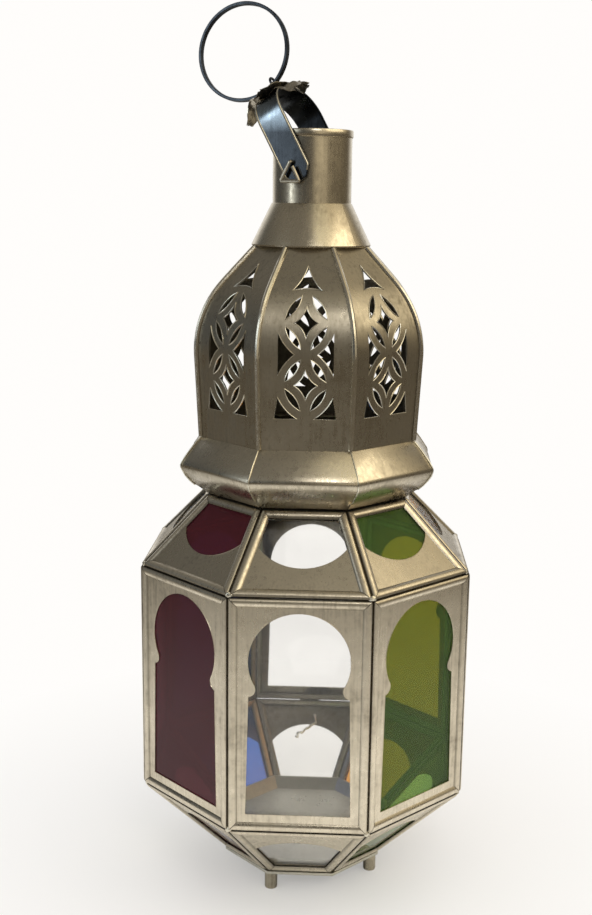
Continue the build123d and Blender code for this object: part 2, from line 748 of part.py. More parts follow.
def latch_staple():
    """Wire bow on the top rail of the sloping frame under the door."""
    y, z = below_edge(RAIL_MID, 0)
    points = (
        (-STAPLE_HALF_W, 0, 0),
        (-STAPLE_HALF_W, 0, STAPLE_H),
        (STAPLE_HALF_W, 0, STAPLE_H),
        (STAPLE_HALF_W, 0, 0),
    )
    return bent_wire(Plane((0, y, z), x_dir=(1, 0, 0), z_dir=LOWER.plane.z_dir), points, STAPLE_WIRE_R)


def octagon(apothem):
    """Eight-sided outline with its flats to the front, back and sides."""
    return RegularPolygon(apothem, len(FACES), major_radius=False, rotation=SECTOR / 2)


def floor_tray():
    """Folded tray: a skirted flange under the glazing, walls that lean out inside it and a raised floor."""
    spread = tan(radians(LOWER_LEAN))
    wall = FLOOR_T / cos(radians(LOWER_LEAN))
    foot = BASE_A - FRAME_T / cos(radians(LOWER_LEAN)) - TRAY_CLEAR
    with BuildPart() as tray:
        with BuildSketch(Plane.XY.offset(FLOOR_Z)):
            octagon(BASE_A)
        extrude(amount=-FLOOR_T)
        with BuildSketch(Plane.XY.offset(FLOOR_Z)):
            octagon(BASE_A)
            offset(amount=-TRAY_SKIRT_T, kind=Kind.INTERSECTION, mode=Mode.SUBTRACT)
        extrude(amount=-TRAY_SKIRT_H)
        with BuildSketch(Plane.XY.offset(FLOOR_Z)):
            octagon(foot)
        extrude(amount=TRAY_RISE + TRAY_RIM_H, taper=-LOWER_LEAN)
        with BuildSketch(Plane.XY.offset(FLOOR_Z - FLOOR_T)):
            octagon(foot - wall - FLOOR_T * spread)
        extrude(amount=TRAY_RISE, taper=-LOWER_LEAN, mode=Mode.SUBTRACT)
        with BuildSketch(Plane.XY.offset(TRAY_Z)):
            octagon(foot - wall + TRAY_RISE * spread)
        extrude(amount=TRAY_RIM_H, taper=-LOWER_LEAN, mode=Mode.SUBTRACT)
    return tray.part


def feet():
    """Round pegs inside every other corner of the tray's skirt."""
    corner = (BASE_A - TRAY_SKIRT_T - FOOT_CLEAR - FOOT_R) / cos(HALF_SECTOR)
    with BuildPart() as pegs:
        with BuildSketch():
            with PolarLocations(corner, FOOT_COUNT, start_angle=-90 - SECTOR / 2):
                RegularPolygon(FOOT_R, FOOT_SIDES)
        extrude(amount=FOOT_H)
    return pegs.part


def placed(part, face):
    """A copy of a front piece, turned round the axis to another face."""
    return part.moved(Location((0, 0, 0), (0, 0, 1), SECTOR * face))


def group(pieces):
    """Several separate solids kept together as one node."""
    return Compound([solid for piece in pieces for solid in piece.solids()])


def save(part, name):
    """Label a finished piece and write it to its own file."""
    part.label = name
    export_step(part, f"parts/{name}.step")


os.makedirs("parts", exist_ok=True)
ALL = range(len(FACES))
FIXED = [face for face in ALL if face != DOOR]

# Three tiers of glazed faces: a frame for each face, then the masks and the panes.
for tier_name, tier, mask, faces in (
    ("lower", LOWER, sloping_mask(LOWER, LOWER.slope), ALL),
    ("body", BODY, arched_mask(), FIXED),
    ("shoulder", SHOULDER, sloping_mask(SHOULDER, 0), ALL),
):
    frame = channel_frame(tier)
    for face in faces:
        save(placed(frame, face), f"{tier_name}_frame_{FACES[face]}")
    save(group(placed(mask, face) for face in faces), f"{tier_name}_masks")
    glass = pane(tier)
    clear = [face for face in faces if GLASS_COLOURS[face] == "clear"]
    save(group(placed(glass, face) for face in clear), f"{tier_name}_glass_clear")

# Each coloured face has panes of its colour in all three tiers.
for face in ALL:
    if GLASS_COLOURS[face] != "clear":
        panes = [placed(pane(tier), face) for tier in (LOWER, BODY, SHOULDER)]
        save(group(panes), f"glass_{GLASS_COLOURS[face]}")

# Floor, collar, dome and neck.
save(floor_tray(), "floor_tray")
save(feet(), "feet")
for piece, node in (
    (collar_moulding(), "collar_mouldings"),
    (pierced_panel(), "dome_panels"),
    (dome_rib(), "dome_ribs"),
):
    save(group(placed(piece, face) for face in ALL), node)
save(neck_cone(), "neck_cone")
save(neck_tube(), "neck_tube")

# Bail and ring.
save(bail_strap(), "bail_strap")
save(group(pivot_cotter(side) for side in (-1, 1)), "bail_cotters")
save(rosette(), "rosette")
save(ring_eye(), "ring_eye")
save(hanging_ring(), "hanging_ring")

# Door with its hinges and its hasp.
save(placed(channel_frame(BODY, DOOR_GAP), DOOR), "door_frame")
save(placed(arched_mask(), DOOR), "door_mask")
save(placed(pane(BODY), DOOR), "door_glass")
door_leaves = [hinge_leaf(low) for low in HINGE_LOWS]
post_leaves = [hinge_leaf(low - KNUCKLE_H - KNUCKLE_GAP) for low in HINGE_LOWS]
save(group(placed(leaf, DOOR) for leaf in door_leaves), "hinge_leaves_door")
save(group(placed(mirror(leaf, about=sector_side(-1)), DOOR) for leaf in post_leaves), "hinge_leaves_post")
save(group(placed(hinge_pin(low), DOOR) for low in HINGE_LOWS), "hinge_pins")
save(placed(hasp_bracket(), DOOR), "hasp_bracket")
save(placed(hasp_pin(), DOOR), "hasp_pin")
save(placed(latch_hasp(), DOOR), "latch_hasp")
save(placed(latch_staple(), DOOR), "latch_staple")
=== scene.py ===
"""Looks of an eight-sided pierced tin and coloured glass lantern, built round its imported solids."""

from math import acos, atan2, cos, hypot, pi, radians, sin, sqrt, tan, tau

import bpy
from bpy.props import FloatProperty, FloatVectorProperty, PointerProperty
from bpy.types import Operator, Panel, PropertyGroup
from mathutils import Matrix, Vector, noise


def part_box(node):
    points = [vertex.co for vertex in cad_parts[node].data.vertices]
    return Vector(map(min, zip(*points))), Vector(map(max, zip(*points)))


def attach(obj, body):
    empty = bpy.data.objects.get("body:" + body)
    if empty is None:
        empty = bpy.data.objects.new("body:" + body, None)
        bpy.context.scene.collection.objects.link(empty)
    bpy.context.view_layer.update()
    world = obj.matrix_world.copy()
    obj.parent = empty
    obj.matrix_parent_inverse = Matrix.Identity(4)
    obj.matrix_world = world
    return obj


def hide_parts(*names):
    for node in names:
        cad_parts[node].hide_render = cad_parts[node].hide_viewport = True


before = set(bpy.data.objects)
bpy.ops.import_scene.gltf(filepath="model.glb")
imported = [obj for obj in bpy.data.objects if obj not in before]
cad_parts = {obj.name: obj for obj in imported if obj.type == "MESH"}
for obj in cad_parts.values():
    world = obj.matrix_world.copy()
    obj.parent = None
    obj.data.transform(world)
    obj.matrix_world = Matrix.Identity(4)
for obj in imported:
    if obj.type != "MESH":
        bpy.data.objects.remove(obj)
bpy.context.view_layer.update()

bl_info = {
    "name": "Pierced Tin Lantern",
    "version": (1, 0, 0),
    "blender": (4, 5, 0),
    "location": "View3D > Sidebar > Lantern",
    "description": "Models and finishes the pieces of a pierced tin and glass lantern",
    "category": "Object",
}

MM = 0.001
FACES = ("front", "front_right", "right", "rear_right", "rear", "rear_left", "left", "front_left")
DOOR = FACES.index("rear")
TURN = tau / len(FACES)
HALF_TAN = tan(TURN / 2)


def low_of(node):
    """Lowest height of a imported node."""
    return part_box(node)[0].z


def top_of(node):
    """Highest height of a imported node."""
    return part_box(node)[1].z


def length(name, default, description):
    """A size in metres that a user may change."""
    return FloatProperty(
        name=name, description=description, default=default, unit="LENGTH", subtype="DISTANCE"
    )


def colour(name, default, description):
    """A colour that a user may change."""
    return FloatVectorProperty(
        name=name, description=description, default=default, size=3, min=0, max=1, subtype="COLOR"
    )


def angle(name, default, description):
    """An angle in degrees that a user may change."""
    return FloatProperty(name=name, description=description, default=radians(default), unit="ROTATION")


def share(name, default, description):
    """A number from nought to one that a user may change."""
    return FloatProperty(name=name, description=description, default=default, min=0, max=1, subtype="FACTOR")


class LanternSizes(PropertyGroup):
    """Sizes of the lantern's tin work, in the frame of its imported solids."""

    body_reach: length("Body reach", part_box("body_frame_right")[1].x, "Axis to the upright faces")
    base_reach: length("Base reach", 44.8 * MM, "Axis to the lower edge of the sloping faces")
    shoulder_reach: length("Shoulder reach", 54.3 * MM, "Axis to the upper edge of the shoulder faces")
    floor_z: length("Floor height", 12 * MM, "Ground to the floor's top")
    body_z: length("Body height", 60 * MM, "Ground to the lower edge of the upright faces")
    eave_z: length("Eave height", 189 * MM, "Ground to the upper edge of the upright faces")
    collar_z: length("Collar height", low_of("collar_mouldings"), "Ground to the collar's foot")
    dome_z: length("Dome height", low_of("dome_panels"), "Ground to the dome's foot")
    cone_z: length("Cone height", low_of("neck_cone"), "Ground to the cone's foot")
    neck_z: length("Neck height", low_of("neck_tube"), "Ground to the neck tube's foot")
    rim_z: length("Rim height", top_of("neck_tube"), "Ground to the neck's rim")
    channel_width: length("Channel width", 5.6 * MM, "Width of the folded channel round a pane")
    channel_deep: length("Channel depth", 4.8 * MM, "Depth of the folded channel round a pane")
    groove: length("Groove", 1.2 * MM, "Open joint between the channels of two faces")
    groove_deep: length("Groove depth", 2.6 * MM, "Depth of the open joint between channels")
    seam: length("Seam", 0.1 * MM, "Joint left at the bottom of a groove")
    door_gap: length("Door gap", 0.25 * MM, "Room left round the door's channel")
    mitre_gap: length("Mitre gap", 0.3 * MM, "Open joint between two mitred lengths of a face")
    sheet: length("Sheet", 0.8 * MM, "Thickness of the collar's and the dome's sheet")
    dome_base: length("Dome base", 57.6 * MM, "Axis to the dome's faces at its foot")
    dome_belly: length("Dome belly", 60 * MM, "Axis to the dome's faces at its bend")
    dome_wall: length("Dome wall", 47.7 * MM, "Height of the dome's straight wall")
    dome_bend: length("Dome bend", 55 * MM, "Radius of the dome's bend")
    rib_width: length("Rib width", 3 * MM, "Width of the round rib over a dome joint")
    burr: length("Burr", 0.26 * MM, "Radius of the raised edge round a piercing")
    cone_reach: length("Cone reach", 32.6 * MM, "Radius of the cone's foot")
    neck_reach: length("Neck reach", 21.3 * MM, "Radius of the neck tube")
    pivot_z: length("Pivot height", 405.002 * MM, "Ground to the bail's pivot")
    strap_width: length("Strap width", 16 * MM, "Width of the bail strap")
    strap_height: length("Strap height", 40.6 * MM, "Pivot to the top of the bail strap")
    ring_reach: length("Ring reach", 26.58 * MM, "Outer radius of the hanging ring")
    wire: length("Wire", 1.0 * MM, "Radius of the pivot wires")


class LanternFinish(PropertyGroup):
    """Colours and polish of the lantern's metals and glass."""

    tin_pale: colour("Tin", (0.79, 0.715, 0.57), "Rubbed tin")
    tin_deep: colour("Tin tarnish", (0.45, 0.4, 0.31), "Tarnish in the tin")
    dome_pale: colour("Dome", (0.53, 0.478, 0.375), "Rubbed tin of the dome")
    dome_deep: colour("Dome tarnish", (0.27, 0.238, 0.18), "Tarnish of the dome")
    strap_pale: colour("Strap", (0.075, 0.085, 0.095), "Blued steel of the bail")
    strap_deep: colour("Strap tarnish", (0.03, 0.034, 0.038), "Tarnish of the bail")
    # Pale colour painted round the bail's bend as a painted highlight.
    strap_bend_highlight: colour("Strap bend", (0.42, 0.5, 0.56), "Steel rubbed bright where the bail bends")
    ring_pale: colour("Ring", (0.11, 0.125, 0.145), "Dark tin of the ring and its eye")
    ring_deep: colour("Ring tarnish", (0.03, 0.034, 0.04), "Tarnish of the ring and its eye")
    pan_pale: colour("Floor pan", (0.62, 0.6, 0.52), "Even tin of the floor")
    pan_deep: colour("Floor pan tarnish", (0.5, 0.48, 0.41), "Tarnish of the floor")
    # Paler than the dome: rubbed tin, and partly a painted highlight along the ribs.
    rib_pale: colour("Rib", (0.82, 0.77, 0.65), "Rubbed tin of the ribs")
    rib_deep: colour("Rib tarnish", (0.5, 0.45, 0.36), "Tarnish of the ribs")
    flower_pale: colour("Flower", (0.62, 0.57, 0.47), "Stained tin of the flower")
    flower_deep: colour("Flower tarnish", (0.13, 0.115, 0.09), "Tarnish of the flower")
    neck_pale: colour("Neck", (0.72, 0.645, 0.5), "Brassy tin of the cone and neck")
    neck_deep: colour("Neck tarnish", (0.4, 0.345, 0.25), "Tarnish of the cone and neck")
    neck_roughness: share("Neck roughness", 0.24, "How far the cone and neck blur reflections")
    # Also laid on the bail's hems as a painted highlight, and on the dome's burrs, partly bright cut edge and
    # partly painted highlight.
    solder: colour("Solder", (0.78, 0.74, 0.62), "Bright solder and cut edges")
    glass_clear: colour("Clear glass", (0.985, 0.98, 0.965), "Tint of the clear panes")
    glass_green: colour("Green glass", (0.2, 0.36, 0.09), "Tint of the green panes")
    glass_amber: colour("Amber glass", (0.85, 0.4, 0.06), "Tint of the amber panes")
    glass_blue: colour("Blue glass", (0.08, 0.2, 0.6), "Tint of the blue panes")
    glass_red: colour("Red glass", (0.1, 0.018, 0.026), "Tint of the dark red panes")
    tin_roughness: share("Tin roughness", 0.3, "How far the tin blurs reflections")
    strap_roughness: share("Strap roughness", 0.2, "How far the bail blurs reflections")


class LanternStage(PropertyGroup):
    """The floor, the light and the camera round the lantern."""

    floor: colour("Floor", (0.86, 0.85, 0.83), "Plain pale floor")
    backdrop: colour("Backdrop", (1.0, 0.985, 0.965), "Pale surroundings")
    ambient: colour("Ambient", (0.95, 0.94, 0.925), "Light from all round on the floor")
    ceiling: colour("Ceiling", (0.18, 0.166, 0.142), "Light from above that metal mirrors")
    cool_side: colour("Cool side", (0.07, 0.075, 0.08), "Dim left side of the room that metal mirrors")
    warm_side: colour("Warm side", (0.12, 0.1, 0.072), "Dim right side of the room that metal mirrors")
    gold_panel: colour("Gold panel", (0.58, 0.49, 0.33), "Warm panel high on the right that metal mirrors")
    front_panel: colour("Front panel", (0.6, 0.53, 0.4), "Warm panel level with the neck that metal mirrors")
    cool_panel: colour("Cool panel", (0.85, 0.95, 1.0), "Cool panel high on the left that metal mirrors")
    top_panel: colour("Top panel", (0.85, 0.78, 0.58), "Warm panel overhead that the cone mirrors")
    camera_place: FloatVectorProperty(
        name="Camera place",
        description="Where the camera stands",
        default=(0.0229, -0.6829, 0.3845),
        size=3,
        subtype="TRANSLATION",
        unit="LENGTH",
    )
    camera_heading: angle("Camera heading", -2.5, "Turn to the right")
    camera_dip: angle("Camera dip", 11.7, "Tilt down")
    camera_roll: angle("Camera roll", 0.7, "Roll about the view")
    camera_lens: FloatProperty(
        name="Camera lens", description="Focal length in millimetres", default=48.607
    )


def sizes():
    """The sizes now set."""
    return bpy.context.scene.lantern_sizes


def finishes():
    """The finishes now set."""
    return bpy.context.scene.lantern_finish


# Modelling by hand, in small steps.


def choose(*pieces):
    """Select only these pieces, the first of them active."""
    if bpy.context.mode != "OBJECT":
        bpy.ops.object.mode_set(mode="OBJECT")
    bpy.ops.object.select_all(action="DESELECT")
    for piece in pieces:
        piece.select_set(True)
    if pieces:
        bpy.context.view_layer.objects.active = pieces[0]


def edit_all(piece):
    """Open a piece for editing with everything selected."""
    choose(piece)
    bpy.ops.object.mode_set(mode="EDIT")
    bpy.ops.mesh.select_all(action="SELECT")


def flat_shape(points):
    """Flat face through points in order."""
    choose()
    bpy.ops.mesh.primitive_circle_add(vertices=len(points), fill_type="NGON", location=(0, 0, 0))
    piece = bpy.context.object
    for vertex, point in zip(piece.data.vertices, points):
        vertex.co = point
    return piece


def thicken(piece, way):
    """Pull a flat piece along a direction into a closed solid."""
    edit_all(piece)
    bpy.ops.mesh.extrude_region_move(TRANSFORM_OT_translate={"value": way})
    bpy.ops.mesh.select_all(action="SELECT")
    bpy.ops.mesh.normals_make_consistent(inside=False)
    choose(piece)
    return piece


def turned_section(points, steps, centre=(0, 0, 0), axis=(0, 0, 1)):
    """Closed section of places across and up, spun all the way round an axis."""
    piece = flat_shape([(x, 0, z) for x, z in points])
    edit_all(piece)
    bpy.ops.mesh.delete(type="ONLY_FACE")
    bpy.ops.mesh.select_all(action="SELECT")
    bpy.ops.mesh.spin(steps=steps, angle=tau, center=centre, axis=axis)
    bpy.ops.mesh.select_all(action="SELECT")
    bpy.ops.mesh.remove_doubles(threshold=0.005 * MM)
    bpy.ops.mesh.normals_make_consistent(inside=False)
    choose(piece)
    return piece


def drawn_wire(points, radius, order=3, closed=False, sides=2):
    """Round wire drawn through points."""
    choose()
    bpy.ops.curve.primitive_nurbs_path_add(location=(0, 0, 0))
    piece = bpy.context.object
    piece.data.splines.clear()
    spline = piece.data.splines.new("POLY" if order == 2 else "NURBS")
    spline.points.add(len(points) - 1)
    for place, point in zip(spline.points, points):
        place.co = (*point, 1)
    spline.use_cyclic_u = closed
    if order > 2:
        spline.order_u = order
        spline.use_endpoint_u = not closed
    piece.data.bevel_depth = radius
    piece.data.bevel_resolution = sides
    piece.data.use_fill_caps = True
    choose(piece)
    bpy.ops.object.convert(target="MESH")
    return bpy.context.object


def shaped_grid(columns, rows, shape):
    """Grid of faces whose points are placed by their shares across and along."""
    choose()
    bpy.ops.mesh.primitive_grid_add(x_subdivisions=columns, y_subdivisions=rows, size=1, location=(0, 0, 0))
    piece = bpy.context.object
    reshape(piece, lambda at: shape(at.x + 0.5, at.y + 0.5))
    return piece


def reshape(piece, shape):
    """Move every point of a piece."""
    for vertex in piece.data.vertices:
        vertex.co = shape(vertex.co.copy())
    piece.data.update()


def modify(piece, kind, **settings):
    """Apply one modifier to a piece."""
    choose(piece)
    modifier = piece.modifiers.new(kind.title(), kind)
    for name, value in settings.items():
        setattr(modifier, name, value)
    bpy.ops.object.modifier_apply(modifier=modifier.name)
    return piece


def cut_away(piece, tool):
    """Cut a tool's shape out of a piece."""
    modify(piece, "BOOLEAN", operation="DIFFERENCE", solver="EXACT", object=tool)
    discard(tool)
    return piece


def trim(piece, place, side):
    """Saw off and close what lies beyond a plane."""
    edit_all(piece)
    bpy.ops.mesh.bisect(plane_co=place, plane_no=side, use_fill=True, clear_outer=True)
    choose(piece)


def round_edges(piece, width, segments=2, angle=30):
    """Round a piece's sharp edges."""
    modify(
        piece,
        "BEVEL",
        width=width,
        segments=segments,
        limit_method="ANGLE",
        angle_limit=radians(angle),
        harden_normals=False,
    )
    return piece


def settle(piece, place):
    """Put a piece in its place and keep that place in its mesh."""
    piece.matrix_world = place
    choose(piece)
    bpy.ops.object.transform_apply(location=True, rotation=True, scale=True)
    return piece


def copy_of(piece):
    """A copy with its own mesh."""
    choose(piece)
    bpy.ops.object.duplicate(linked=False)
    return bpy.context.object


def discard(piece):
    """Throw a piece away."""
    choose(piece)
    bpy.ops.object.delete()


def facing(face):
    """Turn from the front to another face."""
    return Matrix.Rotation(TURN * face, 4, "Z")


def all_round(piece, faces=range(len(FACES))):
    """Copies of a front piece on the other faces. The piece itself is used up."""
    copies = [settle(copy_of(piece), facing(face)) for face in faces]
    discard(piece)
    return copies


def joined(pieces):
    """Several pieces as one."""
    choose(*pieces)
    if len(pieces) > 1:
        bpy.ops.object.join()
    return bpy.context.object


def solid_copy(node):
    """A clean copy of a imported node's mesh."""
    piece = bpy.data.objects.new("copy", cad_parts[node].data.copy())
    bpy.context.scene.collection.objects.link(piece)
    edit_all(piece)
    bpy.ops.mesh.remove_doubles(threshold=0.002 * MM)
    bpy.ops.mesh.dissolve_limited(angle_limit=radians(0.5))
    choose(piece)
    return piece


def hand_over(piece, name, body, finish, slot, *nodes, smooth=35):
    """Name a finished piece, give it its finish and its body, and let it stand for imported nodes."""
    piece.name = name
    piece.data.name = name
    choose(piece)
    bpy.ops.object.shade_smooth_by_angle(angle=radians(smooth))
    piece.data.materials.clear()
    piece.data.materials.append(finish)
    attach(piece, body)
    if nodes:
        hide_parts(*nodes)


def finish_solids(finish, *nodes):
    """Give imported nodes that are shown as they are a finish."""
    for node in nodes:
        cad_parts[node].data.materials.clear()
        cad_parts[node].data.materials.append(finish)


# Finishes.


class Nodes:
    """The nodes of a material or of the surroundings, joined one by one."""

    def __init__(self, tree):
        self.tree = tree

    def add(self, kind, settings=(), **sockets):
        """A node with its settings and its sockets, each a value or another node's output."""
        node = self.tree.nodes.new(kind)
        for name, value in dict(settings).items():
            setattr(node, name, value)
        for name, value in sockets.items():
            self.feed(node.inputs[name.replace("_", " ")], value)
        return node

    def feed(self, socket, value):
        """Set a socket, or join an output to it."""
        if isinstance(value, bpy.types.NodeSocket):
            self.tree.links.new(value, socket)
        else:
            socket.default_value = (*value, 1) if socket.type == "RGBA" else value

    def fed(self, kind, settings, *values):
        """The outputs of a node whose first sockets are fed in order."""
        node = self.add(kind, settings)
        for socket, value in zip(node.inputs, values):
            self.feed(socket, value)
        return node.outputs

    def sums(self, operation, *numbers):
        """Arithmetic of numbers."""
        return self.fed("ShaderNodeMath", {"operation": operation}, *numbers)[0]

    def vectors(self, operation, *values):
        """Arithmetic of directions."""
        return self.fed("ShaderNodeVectorMath", {"operation": operation}, *values)

    def ranged(self, value, low, high, to_low=0, to_high=1, kind="LINEAR"):
        """A number carried from one range to another."""
        settings = {"interpolation_type": kind}
        return self.fed("ShaderNodeMapRange", settings, value, low, high, to_low, to_high)[0]

    def ramp(self, value, stops):
        """Colours along a number."""
        node = self.add("ShaderNodeValToRGB", Fac=value)
        while len(node.color_ramp.elements) < len(stops):
            node.color_ramp.elements.new(0.5)
        for element, (place, shade) in zip(node.color_ramp.elements, stops):
            element.position = place
            element.color = (*shade, 1)
        return node.outputs["Color"]

    def mixed(self, first, second, part):
        """A colour between two others."""
        node = self.add("ShaderNodeMix", {"data_type": "RGBA"})
        for socket, value in ((0, part), (6, first), (7, second)):
            self.feed(node.inputs[socket], value)
        return node.outputs[2]

    def seen(self, path):
        """Whether a ray comes straight or through glass from the camera."""
        return self.sums("MAXIMUM", path["Is Camera Ray"], path["Is Transmission Ray"])

    def rays(self):
        """The kinds of rays."""
        return self.add("ShaderNodeLightPath").outputs


class Finish(Nodes):
    """A new material."""

    def __init__(self, name):
        self.material = bpy.data.materials.new(name)
        self.material.use_nodes = True
        super().__init__(self.material.node_tree)
        self.shader = self.tree.nodes["Principled BSDF"]
        places = self.add("ShaderNodeTexCoord")
        self.place = places.outputs["Object"]
        self.looks = places.outputs["Normal"]

    def surface(self, **sockets):
        """Set or join the sockets of the surface."""
        for name, value in sockets.items():
            self.feed(self.shader.inputs[name.replace("_", " ")], value)

    def grain(self, scale, detail, rough, stretch=None):
        """Cloudy noise on the piece, stretched along an axis if need be."""
        place = self.place
        if stretch:
            place = self.add("ShaderNodeMapping", Vector=place, Scale=stretch).outputs[0]
        made = self.add("ShaderNodeTexNoise", Vector=place, Scale=scale, Detail=detail, Roughness=rough)
        return made.outputs["Fac"]

    def facing_in(self):
        """How far the surface looks towards the lantern's axis."""
        out = self.vectors("NORMALIZE", self.vectors("MULTIPLY", self.place, (1, 1, 0))[0])[0]
        return self.ranged(self.vectors("DOT_PRODUCT", out, self.looks)["Value"], -0.35, -0.1, 1, 0)

    def shown(self, other, part):
        """Show the surface mixed with another shader."""
        node = self.add("ShaderNodeMixShader", Fac=part)
        self.feed(node.inputs[1], self.shader.outputs[0])
        self.feed(node.inputs[2], other.outputs[0])
        self.feed(self.tree.nodes["Material Output"].inputs["Surface"], node.outputs[0])

    def bumped(self, height, strength, depth):
        """Normal of a surface with a height."""
        node = self.add("ShaderNodeBump", Strength=strength, Distance=depth, Height=height)
        return node.outputs["Normal"]


def blend(first, second, part):
    """A colour between two others."""
    return tuple(a + (b - a) * part for a, b in zip(first, second))


BLACK = (0, 0, 0)
WHITE = (1, 1, 1)
# Rubbed streaks run up and down.
STREAK = (1, 1, 0.06)
# Height of the painted highlight round the bail's bend, and how far it fades above and below it.
BEND_HIGHLIGHT_Z = 429 * MM
BEND_HIGHLIGHT_REACH = 9 * MM


def worked_tin(name, pale, deep, roughness, dent=0.3, soot=0.46, rubbed=None):
    """Tinned sheet worked by hand: clouded tarnish, stains, worn streaks, dents, painted shade on faces
    turned inside and along the channels' edges and grooves, and where asked, a painted highlight round the
    bail's bend.
    """
    finish = Finish(name)
    cloud = finish.grain(26, 5, 0.6)
    stain = finish.grain(240, 6, 0.65)
    streak = finish.grain(700, 3, 0.5, STREAK)
    tone = finish.sums("ADD", finish.sums("MULTIPLY", cloud, 0.45), finish.sums("MULTIPLY", stain, 0.3))
    tone = finish.sums("ADD", tone, finish.sums("MULTIPLY", streak, 0.25))
    shade = finish.ramp(tone, ((0.36, deep), (0.47, blend(deep, pale, 0.65)), (0.6, pale)))
    # Painted shade: faces turned towards the lantern's axis are darkened towards black, and made a little
    # rougher, as shade inside the lantern.
    shaded_inside = [blend(tint, BLACK, 1 - soot) for tint in (deep, pale)]
    dark = finish.ramp(tone, ((0.36, shaded_inside[0]), (0.6, shaded_inside[1])))
    inside = finish.facing_in()
    # Painted shade: an attribute on the channels darkens their edges and grooves towards near black.
    crevice_shade = finish.add("ShaderNodeAttribute", {"attribute_name": "crevice_shade"}).outputs["Fac"]
    crevice_share = finish.sums("MULTIPLY", crevice_shade, 0.8)
    tint = finish.mixed(finish.mixed(shade, dark, inside), blend(deep, BLACK, 0.9), crevice_share)
    # Painted highlight: a pale band round the bail's bend, fading with height away from it and on faces
    # turned inward.
    if rubbed:
        level = finish.add("ShaderNodeSeparateXYZ", Vector=finish.place).outputs["Z"]
        off = finish.sums("ABSOLUTE", finish.sums("SUBTRACT", level, BEND_HIGHLIGHT_Z))
        near = finish.ranged(off, 0, BEND_HIGHLIGHT_REACH, 1, 0)
        part = finish.sums("MULTIPLY", near, finish.ranged(inside, 0, 1, 0.85, 0))
        tint = finish.mixed(tint, rubbed, part)
    rough = finish.ranged(tone, 0.35, 0.62, roughness + 0.16, roughness - 0.1)
    rough = finish.sums("ADD", rough, finish.sums("MULTIPLY", inside, 0.12))
    dents = finish.grain(55, 2, 0.4)
    height = finish.sums("ADD", dents, finish.sums("MULTIPLY", stain, 0.03))
    normal = finish.bumped(height, dent, 0.6 * MM)
    finish.surface(Base_Color=tint, Metallic=1, Roughness=rough, Normal=normal)
    return finish.material


def pane_glass(name, tint, ripple, through=1.0, bend=1.45):
    """Hand-drawn glass: tinted, a little wavy and clouded, and letting lamp light through."""
    finish = Finish(name)
    wave = finish.grain(38, 2, 0.4)
    seed = finish.grain(900, 1, 0.5)
    height = finish.sums("ADD", wave, finish.sums("MULTIPLY", seed, 0.003))
    cloud = finish.ramp(finish.grain(30, 3, 0.5), ((0.35, blend(tint, BLACK, 0.04)), (0.65, tint)))
    rough = finish.ranged(seed, 0.3, 0.7, 0.02, 0.05)
    normal = finish.bumped(height, ripple, 1.2 * MM)
    finish.surface(Base_Color=cloud, Transmission_Weight=through, IOR=bend, Roughness=rough, Normal=normal)
    lit = finish.add("ShaderNodeBsdfTransparent", Color=blend(tint, WHITE, 0.25))
    finish.shown(lit, finish.rays()["Is Shadow Ray"])
    return finish.material


def metal(name):
    """One of the lantern's metal finishes, made the first time it is asked for."""
    look = finishes()
    dull = blend(look.solder, look.tin_deep, 0.5)
    collar_pale = blend(look.dome_pale, look.tin_pale, 0.35)
    collar_deep = blend(look.dome_deep, look.tin_deep, 0.35)
    rough = look.tin_roughness
    # The bail's strap gets a painted highlight round its bend.
    rubbed = {"rubbed": look.strap_bend_highlight}
    kinds = {
        "worked_tin": (look.tin_pale, look.tin_deep, rough),
        "dome_tin": (look.dome_pale, look.dome_deep, rough),
        "collar_tin": (collar_pale, collar_deep, rough),
        "ring_tin": (look.ring_pale, look.ring_deep, rough + 0.06),
        "pan_tin": (look.pan_pale, look.pan_deep, 0.36, {"dent": 0.1, "soot": 0.75}),
        "rib_tin": (look.rib_pale, look.rib_deep, 0.2, {"dent": 0.06}),
        "flower_tin": (look.flower_pale, look.flower_deep, rough),
        "neck_tin": (look.neck_pale, look.neck_deep, look.neck_roughness, {"dent": 0.16}),
        "solder": (look.solder, dull, 0.3),
        "bright_wire": (look.solder, dull, 0.3, {"soot": 1}),
        "strap_steel": (look.strap_pale, look.strap_deep, look.strap_roughness, rubbed),
    }
    pale, deep, roughness, *extras = kinds[name]
    return bpy.data.materials.get(name) or worked_tin(name, pale, deep, roughness, **dict(*extras))


# Shapes of this lantern.

# Channel: depth of its slot's front and floor, thickness of its back flange and that flange's roll.
SLOT_FRONT = 1.2 * MM
SLOT_FLOOR = 2.6 * MM
CHANNEL_BACK = 0.5 * MM
BACK_ROLL = 0.6 * MM
# Masks: thickness, distance in from the face's edge, and radius of the burr along a cut.
MASK_THICK = 0.6 * MM
MASK_INSET = 2.9 * MM
BURR = 0.2 * MM
# Horseshoe arch: radius, crown under the face's top, nibs and their bow, sides, foot and sill.
ARCH_R = 26.48 * MM
ARCH_CROWN = 8.2 * MM
ARCH_NIB = 22.78 * MM
ARCH_NIB_HIGH = 5.6 * MM
ARCH_NIB_BOW = 1.5 * MM
ARCH_SIDE = 26.18 * MM
ARCH_FOOT = 27.58 * MM
ARCH_SILL = 10 * MM
# Rounded opening of the sloping masks: its radius, its distance from the wide edge, and the
# distance from the channels within which its cut edge is hidden.
SLOPE_R = 28.8 * MM
SLOPE_RIM = 17.5 * MM
EDGE_HIDDEN = 4 * MM
# Solder drops at the corners: how far in they stand, and their depth.
DROP_IN = 2.2 * MM
DROP_DEEP = 1 * MM


